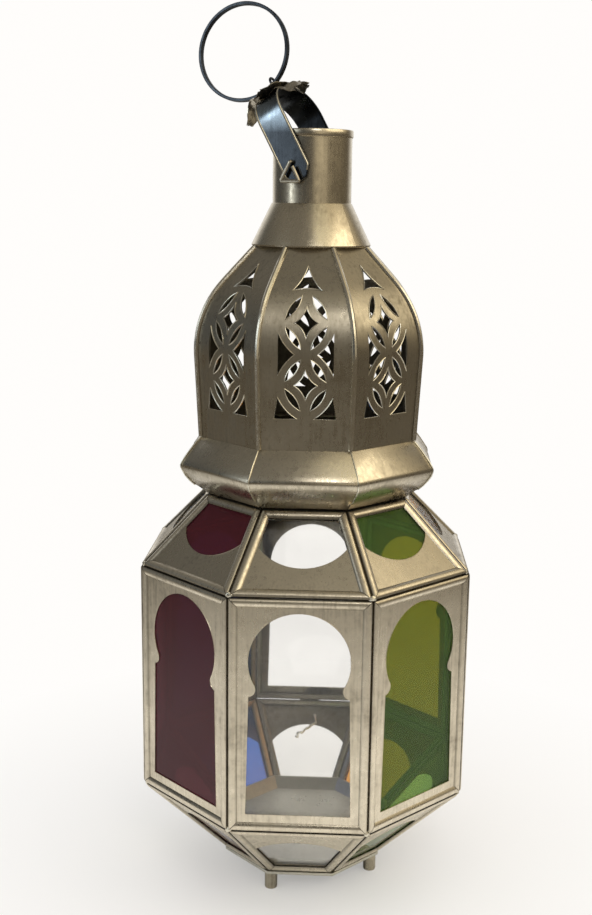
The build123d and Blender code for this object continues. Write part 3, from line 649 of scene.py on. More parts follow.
class Tier:
    """A ring of flat faces, described by its front face: across, up its slope and outward."""

    def __init__(self, low_reach, low_z, top_reach, top_z, low_dip, top_dip):
        self.low_half = low_reach * HALF_TAN
        self.top_half = top_reach * HALF_TAN
        self.slope = hypot(top_reach - low_reach, top_z - low_z)
        up = Vector((0, low_reach - top_reach, top_z - low_z)).normalized()
        across = Vector((1, 0, 0))
        turn = Matrix((across, up, across.cross(up))).transposed().to_4x4()
        self.place = Matrix.Translation((0, -low_reach, low_z)) @ turn
        right = Vector((cos(TURN / 2), sin(TURN / 2), 0))
        left = Vector((-right.x, right.y, 0))
        self.sides = (
            (Vector((0, -low_reach, low_z)), -Vector((0, sin(low_dip), cos(low_dip)))),
            (Vector(), right),
            (Vector((0, -top_reach, top_z)), Vector((0, sin(top_dip), cos(top_dip)))),
            (Vector(), left),
        )

    def corners(self, inset):
        """Corners of the face drawn in by an inset, from the low left round to the right."""
        lean = (self.top_half - self.low_half) / self.slope
        aside = inset * sqrt(1 + lean * lean)
        low = self.low_half + lean * inset - aside
        top = self.top_half - lean * inset - aside
        high = self.slope - inset
        return [(-low, inset), (low, inset), (top, high), (-top, high)]


def tiers():
    """The lantern's three glazed tiers by name."""
    size = sizes()
    lower = atan2(size.body_reach - size.base_reach, size.body_z - size.floor_z) / 2
    upper = atan2(size.body_reach - size.shoulder_reach, size.collar_z - size.eave_z) / 2
    return {
        "lower": Tier(size.base_reach, size.floor_z, size.body_reach, size.body_z, 0, -lower),
        "body": Tier(size.body_reach, size.body_z, size.body_reach, size.eave_z, -lower, upper),
        "shoulder": Tier(size.body_reach, size.eave_z, size.shoulder_reach, size.collar_z, upper, 0),
    }


def arc(centre, radius, start, end, steps):
    """Points along an arc between two angles."""
    turns = [start + (end - start) * step / steps for step in range(steps + 1)]
    return [(centre[0] + radius * cos(turn), centre[1] + radius * sin(turn)) for turn in turns]


def channel_section():
    """Section of the folded channel, inward and down from the face: rolled front, slot and back flange."""
    size = sizes()
    half = size.channel_width / 2
    roll = []
    for step in range(17):
        part = step / 8 - 1
        drop = (2 if part < 0 else SLOT_FRONT / MM) * MM
        roll.append((half + part * half, drop * abs(part) ** 2.4))
    flange = size.channel_deep - CHANNEL_BACK
    out = -size.channel_deep
    back = []
    for step in range(9):
        part = 1 - step / 4
        back.append((half + part * half, size.channel_deep - BACK_ROLL * abs(part) ** 2.4))
    return [
        *roll,
        (SLOT_FLOOR, SLOT_FRONT),
        (SLOT_FLOOR, flange - BACK_ROLL),
        (size.channel_width, flange - BACK_ROLL),
        *back,
        (out, size.channel_deep - BACK_ROLL),
        (out, 2 * MM),
    ]


def backing_section():
    """Section of the strip that closes the groove between two channels from behind."""
    size = sizes()
    out = -size.channel_deep
    back = size.channel_deep - BACK_ROLL - 0.1 * MM
    inner = SLOT_FLOOR - 0.05 * MM
    return [(out, size.groove_deep), (inner, size.groove_deep), (inner, back), (out, back)]


def shade_crevices(piece, tier):
    """Note how far each point of a channel lies below its crown, as the share of painted shade that darkens
    its edges and grooves.
    """
    size = sizes()
    crevice_shade = piece.data.attributes.new("crevice_shade", "FLOAT", "POINT")
    level = tier.place.inverted()
    rim = [Vector(corner) for corner in tier.corners(0)]
    for vertex in piece.data.vertices:
        at = level @ vertex.co
        deep = -at.z
        off = []
        for first, second in zip(rim, rim[1:] + rim[:1]):
            along = (second - first).normalized()
            off.append(along.x * (at.y - first.y) - along.y * (at.x - first.x))
        if deep > size.channel_deep - BACK_ROLL - 0.2 * MM:
            amount = (size.channel_deep - deep - 0.1 * MM) / BACK_ROLL
        else:
            amount = (deep - 0.25 * MM) / (0.9 * MM)
        most = 1 if min(off) < size.channel_width * 0.5 else 0.6
        crevice_shade.data[vertex.index].value = min(most, max(0, amount))


def channel(tier, gap=0.0):
    """Four folded lengths round one face, mitred at its corners and grooved against the next faces."""
    size = sizes()
    outer = [tier.place @ Vector((*corner, 0)) for corner in tier.corners(0)]
    inner = [tier.place @ Vector((*corner, 0)) for corner in tier.corners(size.channel_width)]
    outward = tier.place.to_3x3() @ Vector((0, 0, 1))
    pieces = []
    for first in range(4):
        second = (first + 1) % 4
        along = (outer[second] - outer[first]).normalized()
        inward = outward.cross(along)
        start = outer[first] - along * size.channel_deep
        run = along * ((outer[second] - outer[first]).length + 2 * size.channel_deep)
        place, side = tier.sides[first]
        for shape, joint in ((channel_section(), size.groove / 2), (backing_section(), size.seam / 2)):
            section = [start + inward * across - outward * deep for across, deep in shape]
            piece = thicken(flat_shape(section), run)
            for corner, way in ((first, -1), (second, 1)):
                mitre = (inner[corner] - outer[corner]).cross(outward).normalized()
                mitre *= way if mitre.dot(along) > 0 else -way
                trim(piece, outer[corner] - mitre * size.mitre_gap / 2, mitre)
            trim(piece, place - side * (joint + gap), side)
            pieces.append(piece)
    made = joined(pieces)
    shade_crevices(made, tier)
    return made


class LANTERN_OT_channels(Operator):
    """Fold and mitre the channel round every pane"""

    bl_idname = "lantern.channels"
    bl_label = "Channels"

    def execute(self, context):
        for name, tier in tiers().items():
            faces = [face for face in range(len(FACES)) if name != "body" or face != DOOR]
            for face, piece in zip(faces, all_round(channel(tier), faces)):
                node = f"{name}_frame_{FACES[face]}"
                hand_over(piece, f"{name}_channel_{FACES[face]}", "lantern", metal("worked_tin"), "tin", node)
        size = sizes()
        reach = (size.body_reach - DROP_IN) / cos(TURN / 2)
        drops = []
        for face in range(len(FACES)):
            turn = TURN * face + TURN / 2 - pi / 2
            place = Matrix.Rotation(turn, 4, "Z")
            for z, wide, high in ((size.eave_z + 0.4 * MM, 1.9, 1.5), (size.body_z + 0.6 * MM, 1.7, 1.7)):
                choose()
                bpy.ops.mesh.primitive_ico_sphere_add(subdivisions=3, radius=1)
                drop = bpy.context.object
                seed = Vector((face * 5.1, z * 90, 2.2))
                reshape(drop, lambda at: at * (1 + 0.35 * noise.noise(at * 1.4 + seed)))
                spread = Matrix.Diagonal((DROP_DEEP, wide * MM, high * MM, 1))
                settle(drop, place @ Matrix.Translation((reach, 0, z)) @ spread)
                drops.append(drop)
        hand_over(joined(drops), "corner_solder", "lantern", metal("solder"), "tin")
        door = settle(channel(tiers()["body"], size.door_gap), facing(DOOR))
        hand_over(door, "door_channel", "door", metal("worked_tin"), "tin", "door_frame")
        return {"FINISHED"}


def mask_sheet(tier, opening, edge):
    """Sheet behind the bead of one face, with an opening cut out of it and a burr along the cut."""
    sheet = flat_shape([(x, y, -SLOT_FRONT - MASK_THICK) for x, y in tier.corners(MASK_INSET)])
    thicken(sheet, (0, 0, MASK_THICK))
    tool = thicken(flat_shape([(x, y, -6 * MM) for x, y in opening]), (0, 0, 10 * MM))
    cut_away(sheet, tool)
    burr = drawn_wire([(x, y, -SLOT_FRONT - 0.05 * MM) for x, y in edge], BURR, 2, edge is opening, 1)
    return settle(joined([sheet, burr]), tier.place)


def arch_opening(tier):
    """Outline of the horseshoe arch with its nibs."""
    centre = tier.slope - ARCH_CROWN - ARCH_R
    start = -acos(ARCH_NIB / ARCH_R)
    crown = arc((0, centre), ARCH_R, start, pi - start, 48)
    low = centre + ARCH_R * sin(start)
    across = ARCH_SIDE - ARCH_NIB
    bow = ARCH_NIB_BOW / hypot(across, ARCH_NIB_HIGH)
    lobe = []
    for step in range(1, 9):
        part = step / 8
        out = 4 * part * (1 - part) * bow
        x = ARCH_NIB + across * part - out * ARCH_NIB_HIGH
        lobe.append((x, low - ARCH_NIB_HIGH * part - out * across))
    return [
        *crown,
        *[(-x, y) for x, y in lobe],
        (-ARCH_FOOT, ARCH_SILL),
        (ARCH_FOOT, ARCH_SILL),
        *reversed(lobe),
    ]


def slope_opening(tier, low_edge):
    """Outline of the opening of a sloping mask, rounded towards the wide edge."""
    into = 1 if low_edge else -1
    middle = (0 if low_edge else tier.slope) + into * (SLOPE_RIM + SLOPE_R)
    curve = arc((0, middle), SLOPE_R, 0, -into * pi, 40)
    far = middle + into * 2 * tier.slope
    return [(tier.slope, middle), *curve, (-tier.slope, middle), (-tier.slope, far), (tier.slope, far)]


class LANTERN_OT_masks(Operator):
    """Cut the arched and rounded masks in front of the panes"""

    bl_idname = "lantern.masks"
    bl_label = "Masks"

    def execute(self, context):
        rings = tiers()
        arch = arch_opening(rings["body"])
        arched = mask_sheet(rings["body"], arch, arch)
        pieces = all_round(arched)
        hand_over(pieces.pop(DOOR), "door_arch", "door", metal("worked_tin"), "tin", "door_mask")
        hand_over(joined(pieces), "body_arches", "lantern", metal("worked_tin"), "tin", "body_masks")
        for name in ("lower", "shoulder"):
            ring = rings[name]
            opening = slope_opening(ring, name == "shoulder")
            edge = []
            for x, y in opening:
                half = ring.low_half + (ring.top_half - ring.low_half) * y / ring.slope
                if 0 < y < ring.slope and abs(x) < half - EDGE_HIDDEN:
                    edge.append((x, y))
            sheet = mask_sheet(ring, opening, edge)
            finish = metal("collar_tin") if name == "shoulder" else metal("worked_tin")
            hand_over(joined(all_round(sheet)), f"{name}_arches", "lantern", finish, "tin", f"{name}_masks")
        return {"FINISHED"}


# Coloured panes: colour, share of light let through and index of refraction. Ripple of the glass.
PANES = (("green", 0.9, 1.25), ("amber", 0.9, 1.45), ("blue", 0.9, 1.45), ("red", 0.6, 1.3))
CLEAR_RIPPLE = 0.05
COLOUR_RIPPLE = 0.09


class LANTERN_OT_glass(Operator):
    """Give every pane its glass"""

    bl_idname = "lantern.glass"
    bl_label = "Glass"

    def execute(self, context):
        look = finishes()
        clear = pane_glass("glass_clear", look.glass_clear, CLEAR_RIPPLE)
        finish_solids(clear, "lower_glass_clear", "body_glass_clear", "shoulder_glass_clear", "door_glass")
        for name, through, bend in PANES:
            glass = pane_glass(f"glass_{name}", getattr(look, f"glass_{name}"), COLOUR_RIPPLE, through, bend)
            finish_solids(glass, f"glass_{name}")
        return {"FINISHED"}


# Peg feet: their radius, how far in from the floor's edge they stand, and how far under its top they end.
FOOT_R = 3.6 * MM
FOOT_IN = 4.9 * MM
FOOT_UNDER = 1.2 * MM


class LANTERN_OT_base(Operator):
    """Turn the peg feet and finish the floor tray"""

    bl_idname = "lantern.base"
    bl_label = "Base"

    def execute(self, context):
        size = sizes()
        tray = round_edges(solid_copy("floor_tray"), 0.3 * MM, 2)
        hand_over(tray, "floor_pan", "lantern", metal("pan_tin"), "tin", "floor_tray")
        head = size.floor_z - FOOT_UNDER
        toe = [(FOOT_R - 0.6 * MM, 0), (FOOT_R - 0.15 * MM, 0.25 * MM), (FOOT_R, 0.9 * MM)]
        peg = turned_section([(0.2 * MM, 0), *toe, (FOOT_R, head), (0.2 * MM, head)], 24)
        place = (size.base_reach - FOOT_IN) / cos(TURN / 2)
        turn = -pi / 2 - TURN / 2
        settle(peg, Matrix.Translation((place * cos(turn), place * sin(turn), 0)))
        pegs = all_round(peg, range(0, len(FACES), 2))
        hand_over(joined(pegs), "peg_feet", "lantern", metal("dome_tin"), "tin", "feet")
        return {"FINISHED"}


# Outside of the collar from its foot up: distance beyond the dome, and share of the collar's fall.
COLLAR_BELLY = (
    (0.2, 1), (3.2, 0.932), (6.0, 0.837), (8.2, 0.738), (9.7, 0.647), (10.5, 0.57), (10.6, 0.52),
    (10.1, 0.472), (8.6, 0.388), (6.0, 0.255), (3.0, 0.117), (0, 0),
)
COLLAR_FLANGE = 4.5 * MM


class LANTERN_OT_collar(Operator):
    """Fold the sloping collar with its rounded nose, mitre its eight lengths and solder them"""

    bl_idname = "lantern.collar"
    bl_label = "Collar"

    def execute(self, context):
        size = sizes()
        foot = size.dome_base + 0.2 * MM
        rise = size.dome_z - size.collar_z - 3 * MM
        belly = [(foot + out * MM, size.dome_z - rise * part) for out, part in COLLAR_BELLY]
        hollow = [(y - size.sheet, z) for y, z in reversed(belly)]
        section = [
            (size.shoulder_reach - COLLAR_FLANGE, size.collar_z),
            (size.dome_base - 2.6 * MM, size.collar_z),
            *belly,
            (size.dome_base - COLLAR_FLANGE, size.dome_z),
            (size.dome_base - COLLAR_FLANGE, size.dome_z - size.sheet),
            *hollow[1:-1],
            (size.dome_base - 3.4 * MM, size.collar_z + size.sheet),
            (size.shoulder_reach - COLLAR_FLANGE, size.collar_z + size.sheet),
        ]
        reach = 2 * size.body_reach * HALF_TAN
        piece = flat_shape([(-reach / 2, -y, z) for y, z in section])
        thicken(piece, (reach, 0, 0))
        for side in (-1, 1):
            across = Vector((side * cos(TURN / 2), sin(TURN / 2), 0))
            trim(piece, -across * size.mitre_gap / 2, across)
        round_edges(piece, 0.25 * MM, 2, 50)
        collar = joined(all_round(piece))
        hand_over(collar, "collar", "lantern", metal("collar_tin"), "tin", "collar_mouldings", smooth=40)
        seams = []
        for face in range(len(FACES)):
            line = []
            for step, (y, z) in enumerate(belly[1:]):
                stray = 0.5 * MM * noise.noise(Vector((face * 2.7, step * 0.9, 3.3)))
                line.append((y * HALF_TAN + stray, -y - stray * HALF_TAN, z))
            seams.append(settle(drawn_wire(line, 0.45 * MM, 2, False, 3), facing(face)))
        hand_over(joined(seams), "collar_seams", "lantern", metal("solder"), "tin")
        return {"FINISHED"}


# Pierced dome.

# How far the dome's bend turns inward.
DOME_TURN = radians(42)


def dome_reach(z):
    """Distance from the axis to the dome's faces at a height, and how fast it changes."""
    size = sizes()
    belly = size.dome_z + size.dome_wall
    top = belly + size.dome_bend * sin(DOME_TURN)
    if z <= belly:
        lean = (size.dome_belly - size.dome_base) / size.dome_wall
        return size.dome_base + (z - size.dome_z) * lean, lean
    if z <= top:
        rise = z - belly
        run = sqrt(size.dome_bend**2 - rise * rise)
        return size.dome_belly - size.dome_bend + run, -rise / run
    start = size.dome_belly - size.dome_bend * (1 - cos(DOME_TURN))
    return start - (z - top) * tan(DOME_TURN), -tan(DOME_TURN)


def on_dome(x, z, lift):
    """Place on the front gore, as seen from the front, lifted off its sheet."""
    reach, lean = dome_reach(z)
    level = lift / sqrt(1 + lean * lean)
    return Vector((x, -reach - level, z - level * lean))


def bowed(points, bows, cuts=8):
    """Closed outline through points, each side bowed outward."""
    made = []
    for start, end, bow in zip(points, points[1:] + points[:1], bows):
        right, up = end[0] - start[0], end[1] - start[1]
        span = hypot(right, up)
        for cut in range(cuts if bow else 1):
            part = cut / cuts
            out = 4 * bow * part * (1 - part) / span
            made.append((start[0] + part * right + out * up, start[1] + part * up - out * right))
    return made


def piercings():
    """Outlines of the openings of one gore, in millimetres over the dome's foot."""
    low = 34.4
    high = low + 31.6
    cross = (low + high) / 2
    peak = high + 15.7
    tail = [(5.9, cross), (14.3, cross - 11), (14.3, cross + 11)]
    corner = [(4.1, low - 17.6), (16, low - 17.6), (14.2, low - 6.2)]
    right = [bowed(tail, [-0.9, 0, -0.9]), bowed(corner, [0, 0, -1.2])]
    middle = [bowed([(-7.6, peak), (7.6, peak), (0, peak + 12.1)], [-1] * 3)]
    for centre in (low, high):
        star = [(6.2, centre), (0, centre + 8.2), (-6.2, centre), (0, centre - 8.2)]
        middle.append(bowed(star, [-1.2] * 4))
        for up in (-1, 1):
            leaf = [(2.5, centre + up * 13.3), (10.8, centre + up * 1.7)]
            right.append(bowed(leaf, [1.8] * 2))
    left = [[(-x, z) for x, z in reversed(shape)] for shape in right]
    return middle + right + left


class LANTERN_OT_dome(Operator):
    """Pierce and bend the dome's gores, raise their burrs and lay the ribs"""

    bl_idname = "lantern.dome"
    bl_label = "Dome"

    def execute(self, context):
        size = sizes()
        rise = size.cone_z - size.dome_z

        def gore(across, along):
            z = size.dome_z + along * rise
            half = dome_reach(z)[0] * HALF_TAN - size.mitre_gap / 2
            return Vector(((2 * across - 1) * half, 0, z))

        sheet = thicken(shaped_grid(8, 48, gore), (0, size.sheet, 0))
        shapes = [[(x * MM, size.dome_z + z * MM) for x, z in shape] for shape in piercings()]
        tools = []
        burrs = []
        for shape in shapes:
            tools.append(thicken(flat_shape([(x, -5 * MM, z) for x, z in shape]), (0, 10 * MM, 0)))
            burrs.append(drawn_wire([(x, -0.1 * MM, z) for x, z in shape], size.burr, 2, True, 1))
        cut_away(sheet, joined(tools))
        edges = joined(burrs)
        for piece in (sheet, edges):
            reshape(piece, lambda at: on_dome(at.x, at.z, -at.y))
        gores = joined(all_round(sheet))
        hand_over(gores, "dome_gores", "lantern", metal("dome_tin"), "tin", "dome_panels", smooth=25)
        # The burrs take the pale solder finish: partly the bright cut edge of the tin, partly a painted
        # highlight where light catches the raised edge.
        hand_over(joined(all_round(edges)), "dome_burrs", "lantern", metal("solder"), "tin")
        line = []
        for step in range(25):
            z = size.dome_z + 0.6 * MM + (rise - 1.2 * MM) * step / 24
            reach = dome_reach(z)[0]
            line.append((reach * HALF_TAN, -reach, z))
        rib = drawn_wire(line, size.rib_width / 2, 3, False, 3)
        hand_over(joined(all_round(rib)), "dome_beads", "lantern", metal("rib_tin"), "tin", "dome_ribs")
        return {"FINISHED"}


# Faces round the cone and the neck.
CONE_STEPS = 96
NECK_STEPS = 72
# Lap of the cone: where it lies, how far it stands off, and where its two edges end short of it.
LAP_TURN = radians(-42)
LAP_STEP = 0.45 * MM
LAP_START = 0.006
LAP_END = 0.002


def lapped(piece):
    """Let the spun cone lap over itself at an angle."""

    def shape(at):
        turn = (atan2(at.y, at.x) - LAP_TURN) % tau
        column = round(turn / tau * CONE_STEPS) % CONE_STEPS
        part = column / CONE_STEPS
        reach = hypot(at.x, at.y) + LAP_STEP * part
        angle = LAP_TURN + part * tau
        if column == 0:
            angle += LAP_START
        if column == CONE_STEPS - 1:
            angle = LAP_TURN + tau - LAP_END
        return Vector((reach * cos(angle), reach * sin(angle), at.z))

    reshape(piece, shape)


class LANTERN_OT_neck(Operator):
    """Turn the cone and the neck tube with its rolled rim"""

    bl_idname = "lantern.neck"
    bl_label = "Neck"

    def execute(self, context):
        size = sizes()
        wall = size.sheet
        foot, low = size.cone_reach - 0.3 * MM, size.cone_z
        neck, top = size.neck_reach, size.neck_z
        section = [
            (foot - 5 * MM, low),
            (foot - 0.5 * MM, low),
            (foot - 0.1 * MM, low + 0.3 * MM),
            (foot, low + 0.9 * MM),
            (foot - 0.35 * MM, low + 1.6 * MM),
            (neck + 0.4 * MM, top - 0.4 * MM),
            (neck, top),
            (neck - wall, top),
            (foot - 2 * wall, low + wall),
            (foot - 5 * MM, low + wall),
        ]
        cone = turned_section(section, CONE_STEPS)
        lapped(cone)
        hand_over(cone, "neck_skirt", "lantern", metal("neck_tin"), "tin", "neck_cone")
        rim, edge = neck + 0.6 * MM, size.rim_z
        roll = edge - 3.8 * MM
        section = [
            (neck, top),
            (neck, roll - 0.3 * MM),
            (rim - 0.15 * MM, roll - 0.1 * MM),
            (rim, roll + 0.3 * MM),
            (rim, edge - 0.7 * MM),
            (rim - 0.25 * MM, edge - 0.2 * MM),
            (rim - 0.7 * MM, edge),
            (neck - wall + 0.3 * MM, edge - 0.1 * MM),
            (neck - wall, edge - 0.6 * MM),
            (neck - wall, top),
        ]
        tube = turned_section(section, NECK_STEPS)
        hand_over(tube, "neck_chimney", "lantern", metal("neck_tin"), "tin", "neck_tube")
        return {"FINISHED"}


# Bail and ring.

# Direction of the bail's pivot, and how far the bail leans at rest.
BAIL_TURN = radians(65)
BAIL_LEAN = radians(30)
# Strap: pivot to its legs across, radius of its corners, its ends under the pivot, its thickness,
# and how its ends are clipped.
STRAP_LEG = 23.5 * MM
STRAP_CORNER = 15.2 * MM
STRAP_TAIL = 11 * MM
STRAP_THICK = 1.2 * MM
STRAP_CLIP = 5 * MM
STRAP_CLIP_LEAN = 0.9
# Hems: radius, distance in from the strap's edge, and distance from its ends.
HEM_R = 0.55 * MM
HEM_IN = 0.75 * MM
HEM_END = 3 * MM
# Pivot wire of the right side, in millimetres from the pivot, with the bail upright.
PIVOT_WIRE = (
    (18.7, 0, -4), (18.7, 0, -0.6), (19.5, 0, 0), (25.15, 0, 0), (25.75, 0.3, -0.5), (25.75, 5, -9.2),
    (25.75, 5, -10), (25.75, 4.3, -10.1), (25.75, -4.3, -10.1), (25.75, -5.1, -10), (25.75, -5, -9.2),
    (25.75, -1.4, -2.6),
)


def bail_place():
    """Place of the bail: across along its pivot, up its middle."""
    across = Vector((cos(BAIL_TURN), sin(BAIL_TURN), 0))
    level = Vector((-sin(BAIL_TURN), cos(BAIL_TURN), 0))
    up = level * sin(BAIL_LEAN) + Vector((0, 0, cos(BAIL_LEAN)))
    axes = Matrix((across, up.cross(across), up)).transposed().to_4x4()
    return Matrix.Translation((0, 0, sizes().pivot_z)) @ axes


class LANTERN_OT_bail(Operator):
    """Bend the hemmed strap and its pivot wires"""

    bl_idname = "lantern.bail"
    bl_label = "Bail"

    def execute(self, context):
        size = sizes()
        top = size.strap_height
        flat = STRAP_LEG - STRAP_CORNER
        straight = top - STRAP_CORNER + STRAP_TAIL
        bend = STRAP_CORNER * pi / 2
        whole = 2 * (straight + bend + flat)

        def on_strap(y, run, lift):
            """Place on the strap: across, along from one end, and lifted off its outer face."""
            side = -1 if run < whole / 2 else 1
            left = min(run, whole - run)
            if left < straight:
                return Vector((side * (STRAP_LEG + lift), y, left - STRAP_TAIL))
            if left < straight + bend:
                turn = (left - straight) / STRAP_CORNER
                reach = STRAP_CORNER + lift
                z = top - STRAP_CORNER + reach * sin(turn)
                return Vector((side * (flat + reach * cos(turn)), y, z))
            rest = left - straight - bend
            return Vector((side * (flat - rest), y, top + lift))

        def half_width(run):
            """Half of the strap's width, clipped towards its ends."""
            clipped = max(0, STRAP_CLIP - min(run, whole - run))
            return size.strap_width / 2 - clipped * STRAP_CLIP_LEAN

        def strap(across, along):
            run = along * whole
            return on_strap((2 * across - 1) * half_width(run), run, 0)

        piece = shaped_grid(12, 96, strap)
        edit_all(piece)
        bpy.ops.mesh.normals_make_consistent(inside=False)
        choose(piece)
        if piece.data.polygons[0].normal.x > 0:
            piece.data.flip_normals()
        modify(piece, "SOLIDIFY", thickness=STRAP_THICK, offset=-1)
        round_edges(piece, 0.25 * MM, 2, 60)
        settle(piece, bail_place())
        hand_over(piece, "bail_band", "bail", metal("strap_steel"), "dark_tin", "bail_strap")

        hems = []
        for side in (-1, 1):
            line = []
            for step in range(89):
                run = HEM_END + (whole - 2 * HEM_END) * step / 88
                line.append(on_strap(side * (half_width(run) - HEM_IN), run, -0.1 * MM))
            hems.append(drawn_wire(line, HEM_R, 3, False, 3))
        # The hems take the pale solder finish as a painted highlight: the bright lines where light catches
        # the strap's rolled edges.
        hand_over(settle(joined(hems), bail_place()), "bail_hems", "bail", metal("solder"), "dark_tin")

        upright = bail_place() @ Matrix.Rotation(BAIL_LEAN, 4, "X")
        wires = []
        for side in (-1, 1):
            line = [Vector((side * x, y, z)) * MM for x, y, z in PIVOT_WIRE]
            wires.append(drawn_wire(line, size.wire, 3))
        piece = settle(joined(wires), upright)
        hand_over(piece, "pivot_wires", "lantern", metal("dome_tin"), "wire", "bail_cotters")
        return {"FINISHED"}


# Petals of the flower: turn, length, flat part, rise, rise of the tip, twist of the tip and half width.
FLOWER_PETALS = (
    (118, 23, 10, -12, -40, 62, 6.5),
    (232, 21, 9, -10, -50, 0, 8.5),
    (276, 18, 8, -44, -4, -30, 5.5),
    (330, 16, 8, 2, 6, 30, 7),
    (60, 18, 8, 5, -30, 0, 9),
    (178, 19, 9, 12, -6, 0, 10.5),
)
# Eye: height over the pivot, radius, and radius of its wire.
EYE_Z = 48.513 * MM
EYE_REACH = 2.95 * MM
EYE_WIRE = 0.7 * MM
# Stem of the eye: radius and height over the strap's top, or over the eye's middle for its head.
STEM_FOOT = ((0.1, -2), (2, -2), (2.3, -1.6), (2.3, -1.25), (1.2, -1.2))
STEM_HEAD = ((1.2, -2.7), (0.1, -2.7))
# Ring: lean and turn in the eye, where it sits there, and thickness, half width and rounding of its strip.
RING_LEAN = radians(-18)
RING_TURN = radians(8)
RING_SEAT = 1.35 * MM
RING_THICK = 1.8 * MM
RING_HALF = 1.7 * MM
RING_EDGE = 0.4 * MM


def flower_petal(leaf):
    """One bent, twisted and creased petal of the flower, before it is turned."""
    turn, long, flat, rise, tip, twist, wide = FLOWER_PETALS[leaf]
    rise, tip, twist = radians(rise), radians(tip), radians(twist)
    seed = Vector((leaf * 3.7, 1.3, 8.1))
    middle = (long - flat) * 0.45 * MM

    def shape(across, along):
        ragged = 0.16 * noise.noise(Vector((across * 6, leaf * 2.3, 4.4)))
        run = along * long * (1 + ragged) * MM
        y = (2 * across - 1) * wide * MM * sqrt(max(0.02, 1 - along**4))
        beyond = min(max(0, run - flat * MM), middle)
        last = max(0, run - flat * MM - middle)
        crease = noise.noise(Vector((run, y, 0)) * 150 + seed)
        crease += 0.4 * noise.noise(Vector((run, y, 1)) * 330 + seed)
        crease *= along * 1.9 * MM
        out = beyond * cos(rise) + last * cos(tip) - crease * sin(tip) * (last > 0)
        z = (0.35 + 0.2 * leaf) * MM + beyond * sin(rise) + last * sin(tip) + crease
        roll = twist * beyond / middle
        z += y * sin(roll)
        return Vector((min(run, flat * MM) + out, y * cos(roll), max(z, -1.2 * beyond - last)))

    piece = shaped_grid(16, 22, shape)
    modify(piece, "SOLIDIFY", thickness=0.45 * MM, offset=0)
    return settle(piece, Matrix.Rotation(radians(turn), 4, "Z"))


class LANTERN_OT_ring(Operator):
    """Crumple the tin flower, bend the eye and roll the ring"""

    bl_idname = "lantern.ring"
    bl_label = "Ring"

    def execute(self, context):
        size = sizes()
        place = bail_place()
        seat = size.strap_height
        flower = joined([flower_petal(leaf) for leaf in range(len(FLOWER_PETALS))])
        settle(flower, place @ Matrix.Translation((0, 0, seat)))
        hand_over(flower, "tin_flower", "bail", metal("flower_tin"), "dark_tin", "rosette")

        over = Matrix.Translation((0, 0, EYE_Z))
        choose()
        bpy.ops.mesh.primitive_torus_add(
            major_radius=EYE_REACH, minor_radius=EYE_WIRE, major_segments=32, minor_segments=12
        )
        loop = settle(bpy.context.object, over @ Matrix.Rotation(pi / 2, 4, "X"))
        foot = [(x * MM, seat + z * MM) for x, z in STEM_FOOT]
        stem = turned_section(foot + [(x * MM, EYE_Z + z * MM) for x, z in STEM_HEAD], 16)
        eye = settle(joined([loop, stem]), place)
        hand_over(eye, "flower_eye", "bail", metal("ring_tin"), "wire", "ring_eye")

        reach = size.ring_reach
        middle = reach - RING_SEAT
        inner = reach - RING_THICK
        wide = RING_HALF - RING_EDGE
        section = [
            (-wide, inner), (wide, inner), (RING_HALF, inner + RING_EDGE), (RING_HALF, reach - RING_EDGE),
            (wide, reach), (-wide, reach), (-RING_HALF, reach - RING_EDGE), (-RING_HALF, inner + RING_EDGE),
        ]
        hoop = turned_section([(x, middle + z) for x, z in section], 96, (0, 0, middle), (1, 0, 0))
        leaning = over @ Matrix.Rotation(RING_LEAN, 4, "X")
        settle(hoop, place @ leaning @ Matrix.Rotation(RING_TURN, 4, "Z"))
        hand_over(hoop, "hoop", "ring", metal("ring_tin"), "dark_tin", "hanging_ring")
        return {"FINISHED"}


# Twisted inner ends of the staple, in millimetres: their root, where the twist starts and where it ends.
STAPLE_ROOT = Vector((3.6, 78, 55))
STAPLE_START = Vector((5.1, 73.5, 51.3))
STAPLE_END = Vector((-8.2, 66, 44.4))
STAPLE_R = 0.5 * MM
STAPLE_TURNS = 3.2


class LANTERN_OT_door_gear(Operator):
    """Finish the rear door's hinges and hasp, and twist the ends of its staple"""

    bl_idname = "lantern.door_gear"
    bl_label = "Door gear"

    def execute(self, context):
        sheet = metal("worked_tin")
        finish_solids(sheet, "hinge_leaves_door", "hinge_leaves_post", "hasp_bracket", "latch_hasp")
        finish_solids(metal("ring_tin"), "hinge_pins", "hasp_pin", "latch_staple")
        start = STAPLE_START * MM
        end = STAPLE_END * MM
        along = (end - start).normalized()
        aside = along.orthogonal().normalized()
        strands = []
        for strand in (0, 1):
            line = [(STAPLE_ROOT + Vector((strand, 0, 0))) * MM]
            for step in range(25):
                part = step / 24
                way = Matrix.Rotation(pi * strand + STAPLE_TURNS * tau * part, 3, along) @ aside
                spread = STAPLE_R * (1 + 2.4 * max(0, part - 0.7) / 0.3)
                line.append(start.lerp(end, part * (1 - 0.12 * strand)) + way * spread)
            strands.append(drawn_wire(line, STAPLE_R, 2, False, 3))
        hand_over(joined(strands), "staple_ends", "lantern", metal("bright_wire"), "wire")
        return {"FINISHED"}


